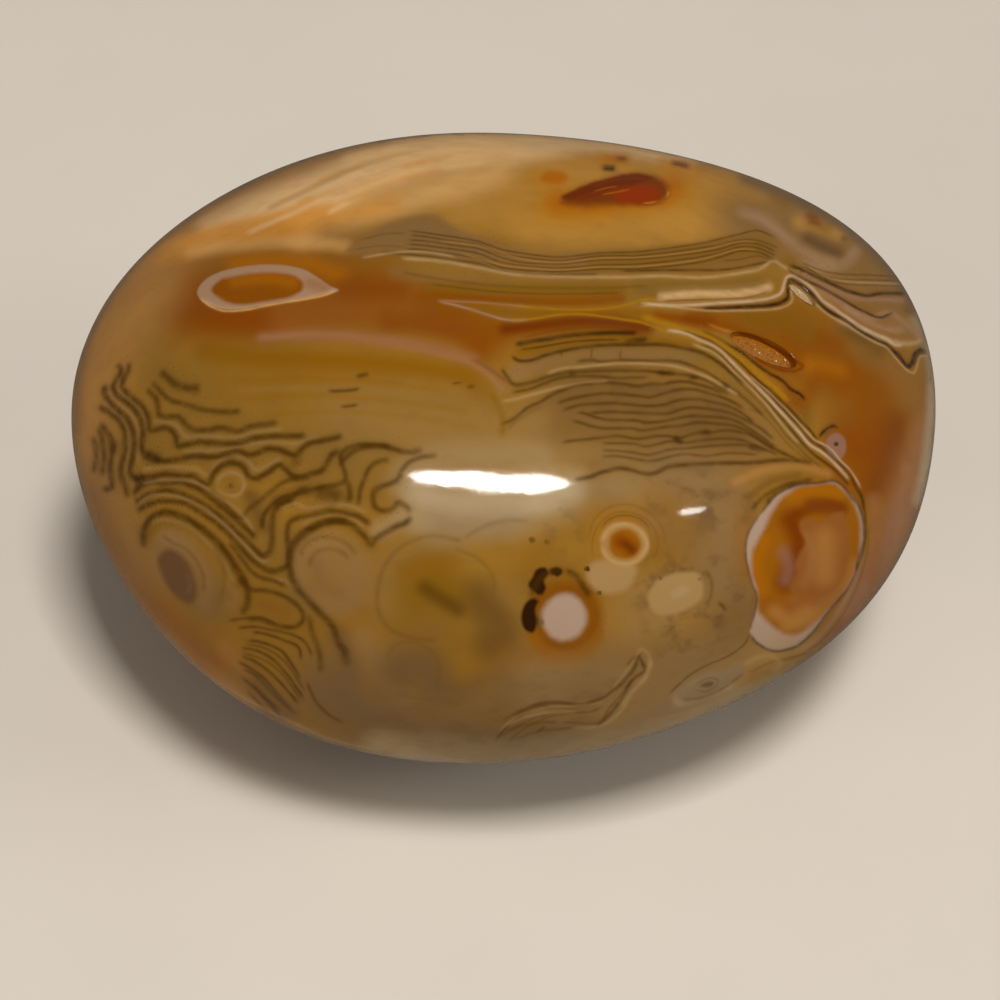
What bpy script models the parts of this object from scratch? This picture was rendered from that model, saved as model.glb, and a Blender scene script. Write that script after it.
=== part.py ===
"""A silk lace agate palm stone: one polished pebble with two small crystal-lined hollows.

Units are metres and +Z is up. The stone lies on its rest facet at z = 0, and the origin is on that
surface, under the middle of the stone's outline. +X runs along its length towards the blunter end.
"""

import math
import random

import bmesh
import bpy
from mathutils import Matrix, Vector
from mathutils.bvhtree import BVHTree

# Size of the finished stone
LENGTH = 0.0620
WIDTH = 0.0515
HEIGHT = 0.0385
REST_CUT = 0.00035  # how much of the belly the rest facet takes off

# Form of the pebble, as shares of its half length, half width or half height
FULLNESS = 0.14  # 0 is an ellipsoid, and more is squarer in the shoulders
BLUNT_END = 0.19  # the +X end is this much wider than an even oval, and the other end narrower
HIGH_END = 0.058  # the same for height
SKEW = 0.058  # the oval leans sideways by this much at its ends
SIDE_BEND = 0.074  # both ends curve towards +Y
RISE = 0.025  # both ends curve upwards

# A worn flat low on the front of the blunt end
FLAT_AZIMUTH = math.radians(-38)
FLAT_ELEVATION = math.radians(-38)
FLAT_SPREAD = math.radians(30)
FLAT_DEPTH = 0.073

STONE_DETAIL = 5  # icosphere subdivisions, 5120 triangles

# Hollows: where they lie seen from above, their size, how far they turn from +X, and the
# icosphere subdivisions of the crystal crust inside
HOLLOWS = {
    "crystal_pocket": {
        "x": 0.0190,
        "y": -0.0053,
        "length": 0.0050,
        "width": 0.0019,
        "depth": 0.0012,
        "turn": math.radians(-3),
        "crystal_detail": 3,
    },
    "quartz_pit": {
        "x": 0.0209,
        "y": 0.0014,
        "length": 0.0024,
        "width": 0.0012,
        "depth": 0.0008,
        "turn": math.radians(-23),
        "crystal_detail": 2,
    },
}
CUTTER_SEGMENTS = 32
CUTTER_RINGS = 16

# Crystal crusts that line the hollows
CRUST_GAP = 0.0002  # clearance to the hollow's wall
CRUST_LEVEL = 0.35  # the crust's top, as a share of the hollow's depth below the stone's skin
CRUST_ROUGHNESS = 0.12  # height of the crystal points, as a share of the depth
CRUST_SEED = 7

AGATE_COLOUR = (0.46, 0.26, 0.08, 1.0)
QUARTZ_COLOUR = (0.62, 0.50, 0.34, 1.0)


def clear_scene():
    for obj in list(bpy.data.objects):
        bpy.data.objects.remove(obj, do_unlink=True)


def collection(name):
    made = bpy.data.collections.new(name)
    bpy.context.scene.collection.children.link(made)
    return made


def material(name, colour, roughness):
    made = bpy.data.materials.new(name)
    made.use_nodes = True
    shader = made.node_tree.nodes["Principled BSDF"]
    shader.inputs["Base Color"].default_value = colour
    shader.inputs["Roughness"].default_value = roughness
    shader.inputs["Metallic"].default_value = 0.0
    return made


def direction(azimuth, elevation):
    return Vector(
        (
            math.cos(elevation) * math.cos(azimuth),
            math.cos(elevation) * math.sin(azimuth),
            math.sin(elevation),
        )
    )


def pebble_point(way):
    """The pebble's surface in one direction from its middle, in half lengths, widths and heights."""
    power = 2 + FULLNESS
    point = way / sum(abs(part) ** power for part in way) ** (1 / power)
    from_flat = way.angle(direction(FLAT_AZIMUTH, FLAT_ELEVATION))
    point *= 1 - FLAT_DEPTH * math.exp(-((from_flat / FLAT_SPREAD) ** 2))
    x, y, z = point
    return Vector(
        (
            x,
            y * (1 + BLUNT_END * x**3) + SKEW * x + SIDE_BEND * x**2,
            z * (1 + HIGH_END * x**3) + RISE * x**2,
        )
    )


def fit_to_size(bm):
    """Scales the pebble to its length, width and height and stands its belly just under z = 0."""
    low = Vector(min(v.co[axis] for v in bm.verts) for axis in range(3))
    high = Vector(max(v.co[axis] for v in bm.verts) for axis in range(3))
    size = Vector((LENGTH, WIDTH, HEIGHT + REST_CUT))
    middle = (low + high) / 2
    for vert in bm.verts:
        for axis in range(3):
            vert.co[axis] = (vert.co[axis] - middle[axis]) * size[axis] / (high - low)[axis]
        vert.co.z += size.z / 2 - REST_CUT


def cut_rest_facet(bm):
    everything = bm.verts[:] + bm.edges[:] + bm.faces[:]
    cut = bmesh.ops.bisect_plane(
        bm, geom=everything, plane_co=(0, 0, 0), plane_no=(0, 0, -1), clear_outer=True
    )
    rim = [item for item in cut["geom_cut"] if isinstance(item, bmesh.types.BMEdge)]
    bmesh.ops.contextual_create(bm, geom=rim)
    for edge in rim:
        edge.smooth = False


def stone_mesh():
    bm = bmesh.new()
    bmesh.ops.create_icosphere(bm, subdivisions=STONE_DETAIL, radius=1.0)
    for vert in bm.verts:
        vert.co = pebble_point(vert.co.normalized())
    fit_to_size(bm)
    cut_rest_facet(bm)
    bmesh.ops.recalc_face_normals(bm, faces=bm.faces)
    return bm


def hollow_frame(surface, hollow):
    """The hollow's own frame: on the stone's skin, X along the hollow and Z out of the stone."""
    above = Vector((hollow["x"], hollow["y"], 2 * HEIGHT))
    place, normal, _, _ = surface.ray_cast(above, Vector((0, 0, -1)))
    along = Vector((math.cos(hollow["turn"]), math.sin(hollow["turn"]), 0))
    across = normal.cross(along).normalized()
    along = across.cross(normal).normalized()
    return Matrix.Translation(place) @ Matrix((along, across, normal)).transposed().to_4x4()


def add_cutter(name, hollow, frame, helpers):
    bm = bmesh.new()
    bmesh.ops.create_uvsphere(bm, u_segments=CUTTER_SEGMENTS, v_segments=CUTTER_RINGS, radius=1.0)
    bmesh.ops.scale(
        bm, vec=(hollow["length"] / 2, hollow["width"] / 2, hollow["depth"]), verts=bm.verts
    )
    mesh = bpy.data.meshes.new(name + "_cutter")
    bm.to_mesh(mesh)
    bm.free()
    cutter = bpy.data.objects.new(name + "_cutter", mesh)
    cutter.matrix_world = frame
    cutter.hide_render = True
    cutter.display_type = "WIRE"
    helpers.objects.link(cutter)
    return cutter


def add_crust(name, hollow, frame, parts, finish, randomness):
    """A bowl of crystals in the hollow: its underside follows the wall and its top is faceted."""
    bm = bmesh.new()
    bmesh.ops.create_icosphere(bm, subdivisions=hollow["crystal_detail"], radius=1.0)
    half = Vector(
        (
            hollow["length"] / 2 - CRUST_GAP,
            hollow["width"] / 2 - CRUST_GAP,
            hollow["depth"] - CRUST_GAP,
        )
    )
    top = -CRUST_LEVEL * hollow["depth"] / half.z
    rim = math.sqrt(1 - top**2)
    for vert in bm.verts:
        way = vert.co.normalized()
        if way.z <= top:
            vert.co = Vector((way.x * half.x, way.y * half.y, way.z * half.z))
            continue
        # Above the rim the ball is pressed flat, and its points are raised and sunk at random
        reach = rim * (1 - way.z) / (1 - top) if way.z < 1 else 0.0
        level = math.hypot(way.x, way.y) or 1.0
        height = top * half.z
        height += randomness.uniform(-1.0, 1.0) * CRUST_ROUGHNESS * hollow["depth"] * (1 - reach**4)
        vert.co = Vector((way.x / level * reach * half.x, way.y / level * reach * half.y, height))
    bmesh.ops.recalc_face_normals(bm, faces=bm.faces)
    mesh = bpy.data.meshes.new(name)
    bm.to_mesh(mesh)
    bm.free()
    mesh.materials.append(finish)
    crust = bpy.data.objects.new(name, mesh)
    crust.matrix_world = frame
    parts.objects.link(crust)
    return crust


def main():
    clear_scene()
    parts = collection("palm_stone")
    helpers = collection("cutters")
    helpers.hide_render = True
    agate = material("polished_agate", AGATE_COLOUR, 0.08)
    quartz = material("quartz_crystals", QUARTZ_COLOUR, 0.25)
    randomness = random.Random(CRUST_SEED)

    bm = stone_mesh()
    surface = BVHTree.FromBMesh(bm)
    mesh = bpy.data.meshes.new("stone")
    bm.to_mesh(mesh)
    bm.free()
    mesh.materials.append(agate)
    mesh.shade_smooth()
    stone = bpy.data.objects.new("stone", mesh)
    parts.objects.link(stone)

    for name, hollow in HOLLOWS.items():
        frame = hollow_frame(surface, hollow)
        cut = stone.modifiers.new(name, "BOOLEAN")
        cut.operation = "DIFFERENCE"
        cut.object = add_cutter(name, hollow, frame, helpers)
        add_crust(name + "_crust", hollow, frame, parts, quartz, randomness)


main()
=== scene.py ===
"""Dresses the silk lace agate palm stone and sets it on a plain studio floor.

Lengths are in metres and +Z is up. The markings are laid out on a drawing that is 1000 units
wide and 1000 high, with y counted downwards. The drawing faces the stone from the side that it is
shown from, and its shapes are carried straight onto the stone's surface, where they are kept as
attributes of the mesh. The materials turn these smooth attributes into sharp lines and patches.
"""

import math
import random

import bmesh
import bpy
import numpy as np
from bpy.props import FloatProperty, FloatVectorProperty, IntProperty, PointerProperty
from mathutils import Matrix, Vector
from mathutils.bvhtree import BVHTree


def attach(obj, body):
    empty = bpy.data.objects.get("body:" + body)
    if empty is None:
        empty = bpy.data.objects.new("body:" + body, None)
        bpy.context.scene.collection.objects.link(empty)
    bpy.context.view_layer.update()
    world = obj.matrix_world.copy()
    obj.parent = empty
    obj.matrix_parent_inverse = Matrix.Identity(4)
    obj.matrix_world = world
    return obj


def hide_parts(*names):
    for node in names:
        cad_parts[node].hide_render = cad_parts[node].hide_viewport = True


bl_info = {
    "name": "Silk Lace Agate Palm Stone",
    "version": (1, 0, 0),
    "blender": (4, 5, 0),
    "location": "3D View > Sidebar > Palm Stone",
    "description": "Builds a polished lace agate palm stone with crystal hollows, and its studio",
    "category": "Object",
}

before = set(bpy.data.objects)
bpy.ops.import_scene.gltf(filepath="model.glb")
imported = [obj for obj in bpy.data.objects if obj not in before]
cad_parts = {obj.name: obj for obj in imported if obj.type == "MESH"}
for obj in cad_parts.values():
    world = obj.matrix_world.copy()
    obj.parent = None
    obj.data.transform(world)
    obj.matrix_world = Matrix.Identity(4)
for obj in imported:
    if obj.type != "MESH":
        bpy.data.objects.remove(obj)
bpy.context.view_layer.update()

# Size and form of the pebble, the same values that the solid model is made from
LENGTH = 0.0620
WIDTH = 0.0515
HEIGHT = 0.0385
REST_CUT = 0.00035
FULLNESS = 0.14
BLUNT_END = 0.19
HIGH_END = 0.058
SKEW = 0.058
SIDE_BEND = 0.074
RISE = 0.025
FLAT_AZIMUTH = math.radians(-38)
FLAT_ELEVATION = math.radians(-38)
FLAT_SPREAD = math.radians(30)
FLAT_DEPTH = 0.073

# Hollows: the middle seen from above, the size, the turn in degrees, and the number of quartz
# points with the seed that sets them out
POCKET = {
    "x": 0.0190,
    "y": -0.0053,
    "length": 0.0050,
    "width": 0.0019,
    "depth": 0.0012,
    "turn": -3,
    "points": 260,
    "seed": 5,
}
PIT = {
    "x": 0.0209,
    "y": 0.0014,
    "length": 0.0024,
    "width": 0.0012,
    "depth": 0.0008,
    "turn": -23,
    "points": 90,
    "seed": 6,
}
CRUST_GAP = 0.00005  # clearance between a crust and the hollow's wall
CRUST_LEVEL = 0.42  # how far down a crust's top lies, as a share of its bowl's depth
POINT_LEAN = 0.45  # how far the quartz points lean, as the spread of their slope

SOLID_DETAIL = 5  # subdivisions of the solid model's skin
CUTTER_SEGMENTS = 48
CUTTER_RINGS = 24
TINY = 1e-9
MILLIMETRES = 1000  # in a metre

# The side that the stone is shown from, and the drawing that faces it
VIEW_AZIMUTH = math.radians(10)
VIEW_ELEVATION = math.radians(42)
VIEW_DISTANCE = 0.220
AIM_RIGHT = 0.0002
AIM_UP = -0.00428
DRAWING_SIZE = 1000
DRAWING_REACH = 3051  # drawing units for a metre's width at a metre's distance
SENSOR = 36.0

# Studio lights: azimuth and elevation in degrees, sizes and distances in metres, lit spots in
# millimetres
STRIP_WHITE = (1.0, 0.97, 0.92)
SOFT_WHITE = (1.0, 0.97, 0.93)
MIDDLE = (0.0, 0.0, 19.0)
LIGHTS = {
    "strip": {
        "shape": "ELLIPSE",
        "size": (0.46, 0.12),
        "from": (-86.5, 58.5),
        "distance": 1.0,
        "spot": (2.9, -19.0, 32.6),
        "colour": STRIP_WHITE,
    },
    "side": {
        "shape": "ELLIPSE",
        "size": (0.11, 0.035),
        "from": (-36.6, 37.2),
        "distance": 1.0,
        "spot": (15.9, -17.2, 30.3),
        "colour": STRIP_WHITE,
    },
    "soft": {
        "shape": "RECTANGLE",
        "size": (0.3, 0.3),
        "from": (-57, 67),
        "distance": 1.4,
        "spot": MIDDLE,
        "colour": SOFT_WHITE,
    },
    "right": {
        "shape": "RECTANGLE",
        "size": (0.5, 0.3),
        "from": (-4, 24),
        "distance": 1.2,
        "spot": MIDDLE,
        "colour": SOFT_WHITE,
    },
    "left": {
        "shape": "RECTANGLE",
        "size": (0.9, 0.3),
        "from": (-130, 12),
        "distance": 1.2,
        "spot": MIDDLE,
        "colour": SOFT_WHITE,
    },
}
ROOM_COLOUR = (1.0, 0.87, 0.70, 1.0)
FLOOR_SHADE = 0.94  # how bright the floor's darker mottling is beside its colour

AGATE_IOR = 1.45
QUARTZ_IOR = 1.54
PAINTED_GLINT = (228, 206, 168)  # colour of the glints painted on the quartz, from 0 to 255
RIPPLE_HEIGHT = 0.0004

# How the markings are laid on the mesh
OUTLINE_STEP = 2.5  # drawing units between the points of a line or an outline
STROKE_STEP = 6.0  # the same for the soft strokes
DOT_CORNERS = 16
FILL_LAYERS = 3
LINE_LAYERS = 8
LINE_GAP = 16.0  # lines that come closer than this go in different layers
LINE_REACH = 14.0  # how far out a line's distance is kept
LINE_RANGE = 4.0  # the same, as a number of half widths or of edge widths
LINE_TAPER = 7.0  # how far from its ends a line starts to fade
# Beside one line, the distances of two neighbouring places differ by no more than this share of
# the step between them and this much more
JUMP_SHARE = 1.2
JUMP_SLACK = 0.5
# How squarely the surface faces the drawing where its marks and its ground start and stop fading
MARK_VEIL = (0.18, 0.04)
GROUND_VEIL = (0.1, 0.0)

# How the material shows them: shares of ink and of waver, and where an edge starts and ends
GRAIN_STRETCH = (0.5, 1.0, 1.0)
CLOUD_INK = 0.14
FLECK_INK = 0.7
FLECKS_EVERYWHERE = 0.12
FLECKS_FAR = 0.3
PATCH_WAVER = 0.05
PATCH_EDGE = (0.38, 0.62)
LINE_WAVER = 0.035
LINE_CORE = (0.0, 0.24)
LINE_EDGE = (0.1, 0.38)
LINE_EDGE_INK = 0.18
LINE_GRAIN = 0.25
FAR_BANDS_WAVER = 0.12
FAR_BANDS_EDGE = (0.04, 0.18)
FAR_BANDS_BREAKS = (0.36, 0.58)
FAR_BANDS_INK = 0.5
FAR_RINGS_INK = 0.75
FAR_RINGS_FADE = 0.45  # share of a ring's radius over which it fades out

# Colours of the agate, each as red, green and blue from 0 to 255
PALETTE = {
    "honey": (139, 99, 32),
    "pale honey": (136, 104, 54),
    "deep honey": (128, 86, 20),
    "gold": (130, 85, 6),
    "olive": (120, 90, 36),
    "olive gold": (120, 84, 12),
    "olive cream": (180, 132, 58),
    "gold cream": (174, 124, 48),
    # cream, peach cream, orange and orange cream are paler than the stone's own colours: painted
    # light near the top edge, where the light is dimmer
    "cream": (220, 180, 128),
    "peach cream": (208, 160, 96),
    "warm tan": (164, 116, 58),
    "tan": (140, 107, 66),
    "brown tan": (130, 94, 46),
    "grey tan": (124, 93, 54),
    "orange": (206, 140, 56),
    "amber": (128, 70, 2),
    "bright amber": (160, 94, 3),
    "deep amber": (126, 62, 0),
    "burnt red": (106, 44, 0),
    "rust": (110, 54, 10),
    "rose amber": (134, 74, 22),
    "rose": (140, 92, 52),
    "pale rose": (150, 106, 70),
    "umber": (68, 42, 4),
    "dark umber": (42, 20, 2),
    "brown": (98, 68, 24),
    "pale line": (168, 136, 88),
    "white line": (184, 156, 118),
    # milk and pale milk also serve as painted sheen round the strip light's highlight and as
    # painted reflection of the floor along the lower edge
    "milk": (160, 138, 100),
    "pale milk": (176, 156, 124),
    "grey": (104, 80, 50),
    "smoke": (96, 68, 40),
    "lilac": (132, 94, 74),
    "shell": (156, 122, 94),
    "rosy white": (158, 134, 114),
    "blotch": (150, 119, 74),
    "ring cream": (150, 112, 58),
    "orange gold": (136, 82, 8),
    "orange brown": (120, 68, 4),
    "orange cream": (228, 182, 122),
    "core": (116, 52, 2),
    "halo": (180, 116, 8),
    "spot orange": (172, 96, 4),
    "spot red": (138, 46, 0),
    "spot brown": (104, 40, 4),
    "yellow": (152, 106, 14),
    "peach": (132, 80, 32),
    "pale grey": (134, 112, 80),
    "low orange": (126, 84, 40),
    "low grey": (108, 84, 54),
}

# Soft ground colours, laid on one over the other: colour, radius, strength, path
GROUND = (
    # upper shoulder; its cream and orange strokes are partly the stone's streaks and partly painted
    # light, paler where the light near the top edge is dimmer
    ("warm tan", 80, 0.95, "120,285 200,220 300,168 400,142 520,138 640,155 740,185 830,235"),
    ("olive cream", 70, 0.9, "470,190 540,180 610,170 680,185 740,208"),
    ("olive cream", 50, 0.7, "540,225 620,228 700,218"),
    ("cream", 26, 0.9, "212,230 255,208 300,190 350,168 420,152 500,150 560,152"),
    ("orange cream", 34, 0.95, "300,206 350,190 390,172 430,158 480,150"),
    ("cream", 14, 0.9, "235,226 290,202 340,180 390,160"),
    ("peach cream", 26, 0.9, "300,240 360,216 420,196 500,172"),
    ("orange", 18, 0.85, "140,268 170,256 222,238 281,226 325,212"),
    ("orange", 12, 0.8, "166,248 222,229 281,216 310,206"),
    ("orange", 18, 0.7, "240,238 300,230 350,216 390,204"),
    ("orange", 6, 0.5, "300,203 350,187 400,168 450,155"),
    ("orange", 5, 0.4, "320,180 370,160 430,145"),
    ("warm tan", 8, 0.6, "300,166 350,151 430,140"),
    ("rose", 9, 0.9, "380,139 430,134 500,132 545,134"),
    ("brown tan", 30, 0.7, "330,238 400,240 460,252 520,262 620,262"),
    ("gold cream", 44, 0.8, "520,205 580,212 640,208 700,200 740,205"),
    ("orange cream", 18, 0.8, "400,150 450,146 510,147 550,150"),
    ("gold cream", 32, 0.9, "540,172 620,158 690,170 740,188"),
    ("cream", 16, 0.8, "520,138 580,142 640,150 690,160"),
    ("orange cream", 9, 0.7, "430,137 500,134 560,136 620,143 680,155"),
    ("cream", 14, 0.7, "350,163 400,151 445,146"),
    ("cream", 5, 0.6, "250,232 300,210 350,186 400,168"),
    ("orange cream", 5, 0.6, "330,212 380,186 430,170 480,163"),
    ("warm tan", 5, 0.5, "270,208 320,184 370,162 430,146"),
    ("orange", 5, 0.4, "350,200 400,180 440,170"),
    # orange halo round the first eye and the warm zone to its right
    ("amber", 66, 1.0, "190,300 240,285 300,282 370,292"),
    ("deep amber", 40, 1.0, "185,303 215,316 262,320"),
    ("bright amber", 18, 0.7, "235,263 300,262 340,276"),
    ("rose amber", 38, 0.9, "290,316 350,310 410,302 450,316"),
    ("deep amber", 20, 0.8, "345,288 400,290"),
    ("amber", 34, 0.9, "430,303 470,318 495,335 480,350"),
    ("deep amber", 22, 0.8, "390,322 440,328 478,340"),
    ("gold", 20, 1.0, "205,352 260,358 320,360 380,364 430,370 465,378 482,392"),
    ("rose", 11, 0.9, "262,338 310,334 370,338 430,348 472,359"),
    ("pale rose", 6, 0.7, "262,338 320,335 380,341 430,350 470,362 492,377 502,390"),
    ("gold", 34, 0.4, "220,388 300,382 380,388"),
    ("peach cream", 12, 0.5, "190,252 240,245 300,242 345,246"),
    ("olive", 40, 0.5, "160,300 145,330 160,370 200,385"),
    ("pale honey", 70, 0.8, "350,428 430,432 500,440 570,450"),
    # left side
    # tan along the left edge: partly the stone's colour, partly painted reflection of the floor
    ("warm tan", 60, 0.9, "80,470 92,390 113,330 150,278"),
    # thin grey band along the upper left edge: painted shade at the rim
    ("grey", 8, 0.35, "77,430 81,370 96,320 121,280 151,248 191,217 241,188 301,160 351,143"),
    ("peach", 50, 0.9, "80,500 98,545 128,595 168,640 208,672"),
    # paler tan along the lower left edge: partly the stone's colour, partly painted reflection of
    # the floor
    ("warm tan", 26, 0.8, "72,470 84,540 112,592 150,636 196,676 245,703"),
    ("olive", 70, 0.6, "150,440 220,440 300,450 350,470"),
    ("grey tan", 40, 0.95, "172,545 190,575 210,600"),
    ("tan", 50, 0.4, "100,470 120,520 140,570"),
    ("tan", 12, 0.5, "163,534 176,542 190,552 202,570 207,590 203,606"),
    ("tan", 8, 0.5, "230,582 236,598 228,608"),
    ("olive gold", 11, 0.9, "148,534 158,524 175,521 195,529 210,543 225,561 238,582"),
    ("olive", 40, 0.6, "250,520 290,560 300,590"),
    ("tan", 40, 0.6, "326,560 345,575 340,590"),
    ("grey tan", 16, 0.6, "316,560 322,585 345,600"),
    ("deep honey", 14, 0.8, "262,604 285,612"),
    ("honey", 16, 0.5, "300,630 320,690"),
    ("smoke", 22, 0.55, "246,676 264,696 284,714"),
    ("grey", 22, 0.7, "340,640 350,665 345,690"),
    ("tan", 20, 0.6, "300,552 322,540 350,552 362,575 350,600 325,606 305,592 300,552"),
    ("tan", 26, 0.6, "365,640 385,680 400,700"),
    ("warm tan", 16, 0.4, "225,648 245,672"),
    ("brown", 90, 0.28, "230,600 300,620 360,600 470,640 530,570"),
    # the olive eye and the warm middle
    ("olive", 66, 0.8, "425,592 440,594"),
    ("pale honey", 30, 0.6, "386,600 392,560 430,544 470,556"),
    ("olive gold", 48, 0.95, "420,590 440,582 452,592"),
    ("gold", 16, 0.6, "404,572 430,562 460,566"),
    ("umber", 15, 0.6, "425,588 440,598 458,609"),
    ("brown", 26, 0.8, "486,612 492,622"),
    ("honey", 46, 0.8, "480,560 520,545 560,540"),
    ("pale honey", 36, 0.5, "500,600 510,630"),
    # milky pale strokes round the strip light's highlight: painted sheen of that light
    ("milk", 44, 0.75, "425,505 470,508 520,505 560,495"),
    ("pale milk", 22, 0.7, "415,492 450,505 500,507 550,499 575,488"),
    ("milk", 26, 0.4, "400,482 420,462 470,455 540,455"),
    ("milk", 18, 0.5, "380,530 400,520 430,520"),
    ("pale grey", 34, 0.6, "440,525 480,522 510,520"),
    ("bright amber", 18, 0.75, "543,638 560,655 586,648 597,628"),
    ("deep honey", 26, 0.7, "545,605 560,582 588,590"),
    ("honey", 60, 0.8, "625,544 626,545"),
    ("bright amber", 40, 0.45, "620,535 630,535"),
    ("grey tan", 60, 0.7, "680,480 720,520 735,590"),
    ("tan", 24, 0.4, "650,520 680,540 700,560"),
    ("deep honey", 18, 0.7, "745,500 738,530 735,570"),
    ("pale honey", 44, 0.7, "600,640 660,640 710,640"),
    ("low orange", 34, 0.5, "515,655 560,668 610,655"),
    ("brown", 30, 0.8, "478,596 495,612 505,632 490,645"),
    ("smoke", 30, 0.6, "400,672 425,668 440,690"),
    ("smoke", 20, 0.4, "460,690 500,676"),
    ("low grey", 30, 0.5, "440,700 500,700 560,690"),
    ("pale honey", 26, 0.8, "585,668 610,660 640,640 660,622"),
    ("orange brown", 15, 1.0,
     "535,617 543,596 565,588 587,597 595,617 588,638 565,647 543,639 535,617"),
    ("orange gold", 12, 0.9, "532,634 545,652 565,659 585,652 597,636"),
    ("brown", 14, 0.7, "250,496 256,510 262,526"),
    ("brown", 12, 0.6, "278,500 300,492 325,492 345,498"),
    ("orange gold", 15, 0.7, "746,520 742,545 747,575"),
    # pale stroke along the strip light's highlight: painted highlight
    ("pale line", 12, 0.3, "455,478 520,470 580,472"),
    ("brown", 16, 0.45, "595,462 650,460 710,468"),
    # upper right shoulder
    ("grey tan", 56, 0.9, "745,220 795,230 845,265 885,305"),
    ("brown tan", 44, 0.7, "830,250 870,285 900,320"),
    ("olive cream", 14, 0.7, "800,222 820,226 838,232"),
    ("shell", 10, 0.7, "742,212 765,220 782,236 800,254 826,266 846,262 856,250"),
    ("smoke", 13, 0.9, "808,240 822,247 836,253"),
    ("grey", 12, 0.7, "745,178 800,202 850,230 885,262 906,290 925,330 934,380"),
    ("tan", 9, 0.6, "742,212 765,216 785,234 810,252 840,264 852,262"),
    ("olive gold", 18, 0.7, "630,262 700,256 750,248 790,262"),
    ("olive", 16, 0.8, "640,290 700,288 760,284"),
    ("tan", 12, 0.6, "800,285 850,315 900,330"),
    # orange spot near the top
    ("halo", 32, 0.9, "554,203 580,205 620,198 656,192 676,188"),
    ("spot orange", 20, 0.9, "558,203 590,203 630,198 664,194 672,187"),
    ("halo", 16, 0.5, "534,178 560,177"),
    ("halo", 12, 0.7, "602,160 625,160"),
    ("halo", 12, 0.7, "664,164 700,169"),
    # seam, burnt red band and wedge
    ("brown tan", 12, 0.7, "395,272 460,280 505,285"),
    ("olive gold", 11, 0.8, "430,288 520,289 620,290"),
    ("amber", 10, 0.95, "420,296 500,299 560,301 620,299"),
    ("gold", 9, 0.9, "475,308 520,313 600,312 655,314"),
    ("amber", 18, 0.9, "490,332 540,328 600,325 640,330"),
    ("burnt red", 11, 1.0, "505,329 540,325 580,321 620,323 648,328"),
    ("gold", 10, 0.9, "520,352 560,346 600,341 650,341 692,347"),
    ("deep amber", 12, 1.0, "660,317 700,322 740,330 762,340"),
    ("amber", 18, 0.8, "700,313 760,322 800,332"),
    # amber end
    ("amber", 80, 1.0, "790,345 850,365 875,425 862,470"),
    ("olive gold", 24, 0.6, "750,318 790,322 810,330"),
    ("bright amber", 20, 0.7, "812,366 836,372"),
    ("olive", 26, 0.5, "845,335 872,355"),
    ("brown tan", 26, 0.5, "868,345 900,375 912,400"),
    ("deep amber", 34, 0.8, "845,440 882,452"),
    ("rust", 26, 0.7, "896,425 892,462 876,485"),
    ("rose", 40, 0.9, "918,465 902,530 872,588 842,628"),
    ("lilac", 22, 0.8, "905,500 888,548 858,600"),
    ("tan", 11, 0.7, "933,400 927,460 914,515 895,560 870,602"),
    ("brown", 12, 0.5, "785,395 800,402 806,420"),
    # finely lined field
    ("grey tan", 70, 0.8, "575,400 640,410 700,420 745,440"),
    ("pale honey", 26, 0.7, "530,420 575,440 620,446"),
    ("tan", 15, 0.7, "515,374 560,360 620,354 690,358"),
    ("brown", 44, 0.5, "570,395 640,400 720,420"),
    ("brown", 24, 0.4, "560,430 640,440 740,440"),
    ("brown", 30, 0.3, "540,360 620,350 690,362"),
    ("olive", 12, 0.5, "690,350 730,378 770,415 810,455"),
    ("pale rose", 26, 0.6, "925,430 918,480 904,528 882,572 856,612"),
    ("pale milk", 12, 0.8, "932,350 936,395 934,430 927,475 919,500"),
    ("pale milk", 9, 0.5, "914,318 924,336 930,352"),
    ("brown", 16, 0.6, "845,328 862,338 878,350"),
    # foot of the stone
    ("low grey", 66, 0.95, "330,690 400,728 480,742 560,738"),
    ("grey", 42, 0.7, "402,664 425,672"),
    ("grey tan", 50, 0.7, "520,690 600,680 680,665"),
    # pale strokes along the lower edge: painted reflection of the floor, made paler still as
    # painted light against the darker shading there
    ("milk", 34, 0.9, "380,752 450,764 520,765 590,752 660,728 735,700"),
    ("pale milk", 16, 0.8, "400,762 470,770 540,768 620,750 700,722 780,684"),
    ("milk", 10, 0.5, "560,752 660,724 730,700 790,668"),
    ("pale line", 44, 0.5, "540,690 640,690 720,665 790,640"),
    ("brown", 60, 0.3, "660,550 690,560 720,590 735,620"),
    ("low grey", 50, 0.5, "600,690 660,680 720,650 750,615"),
    ("low grey", 40, 0.4, "520,695 570,690"),
    # greys over the lower half
    ("pale grey", 44, 0.35, "610,480 680,470 725,500 715,580 640,600"),
    ("pale grey", 24, 0.4, "590,490 630,488"),
    ("low grey", 34, 0.25, "520,690 600,690"),
    ("deep honey", 26, 0.5, "530,562 545,556"),
    ("grey tan", 24, 0.5, "730,480 735,500"),
    # pale strokes along the lower edge: painted reflection of the floor
    ("pale grey", 20, 0.5, "430,742 500,747 570,737 640,717 700,692"),
    ("pale grey", 8, 0.7, "168,640 200,676 240,708 290,737 340,755 400,768"),
    ("pale milk", 12, 0.6, "680,700 700,692 725,684"),
    # deeper and paler spots of the upper half and the right end
    # cream along the top edge: partly the stone's colour, partly painted light
    ("cream", 16, 0.4, "530,150 560,146 590,143"),
    ("orange cream", 12, 0.8, "350,160 400,148 450,143"),
    ("gold", 12, 0.6, "812,222 826,228"),
    ("brown tan", 14, 0.5, "790,248 806,254"),
    ("deep honey", 14, 0.5, "776,198 786,202"),
    ("brown", 10, 0.6, "852,332 866,338"),
    ("deep amber", 14, 0.6, "822,338 838,344"),
    ("burnt red", 12, 0.5, "690,318 710,322"),
    ("deep amber", 18, 0.6, "785,396 800,404 820,378 840,385"),
    ("pale milk", 12, 0.6, "934,390 932,430 925,480"),
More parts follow.
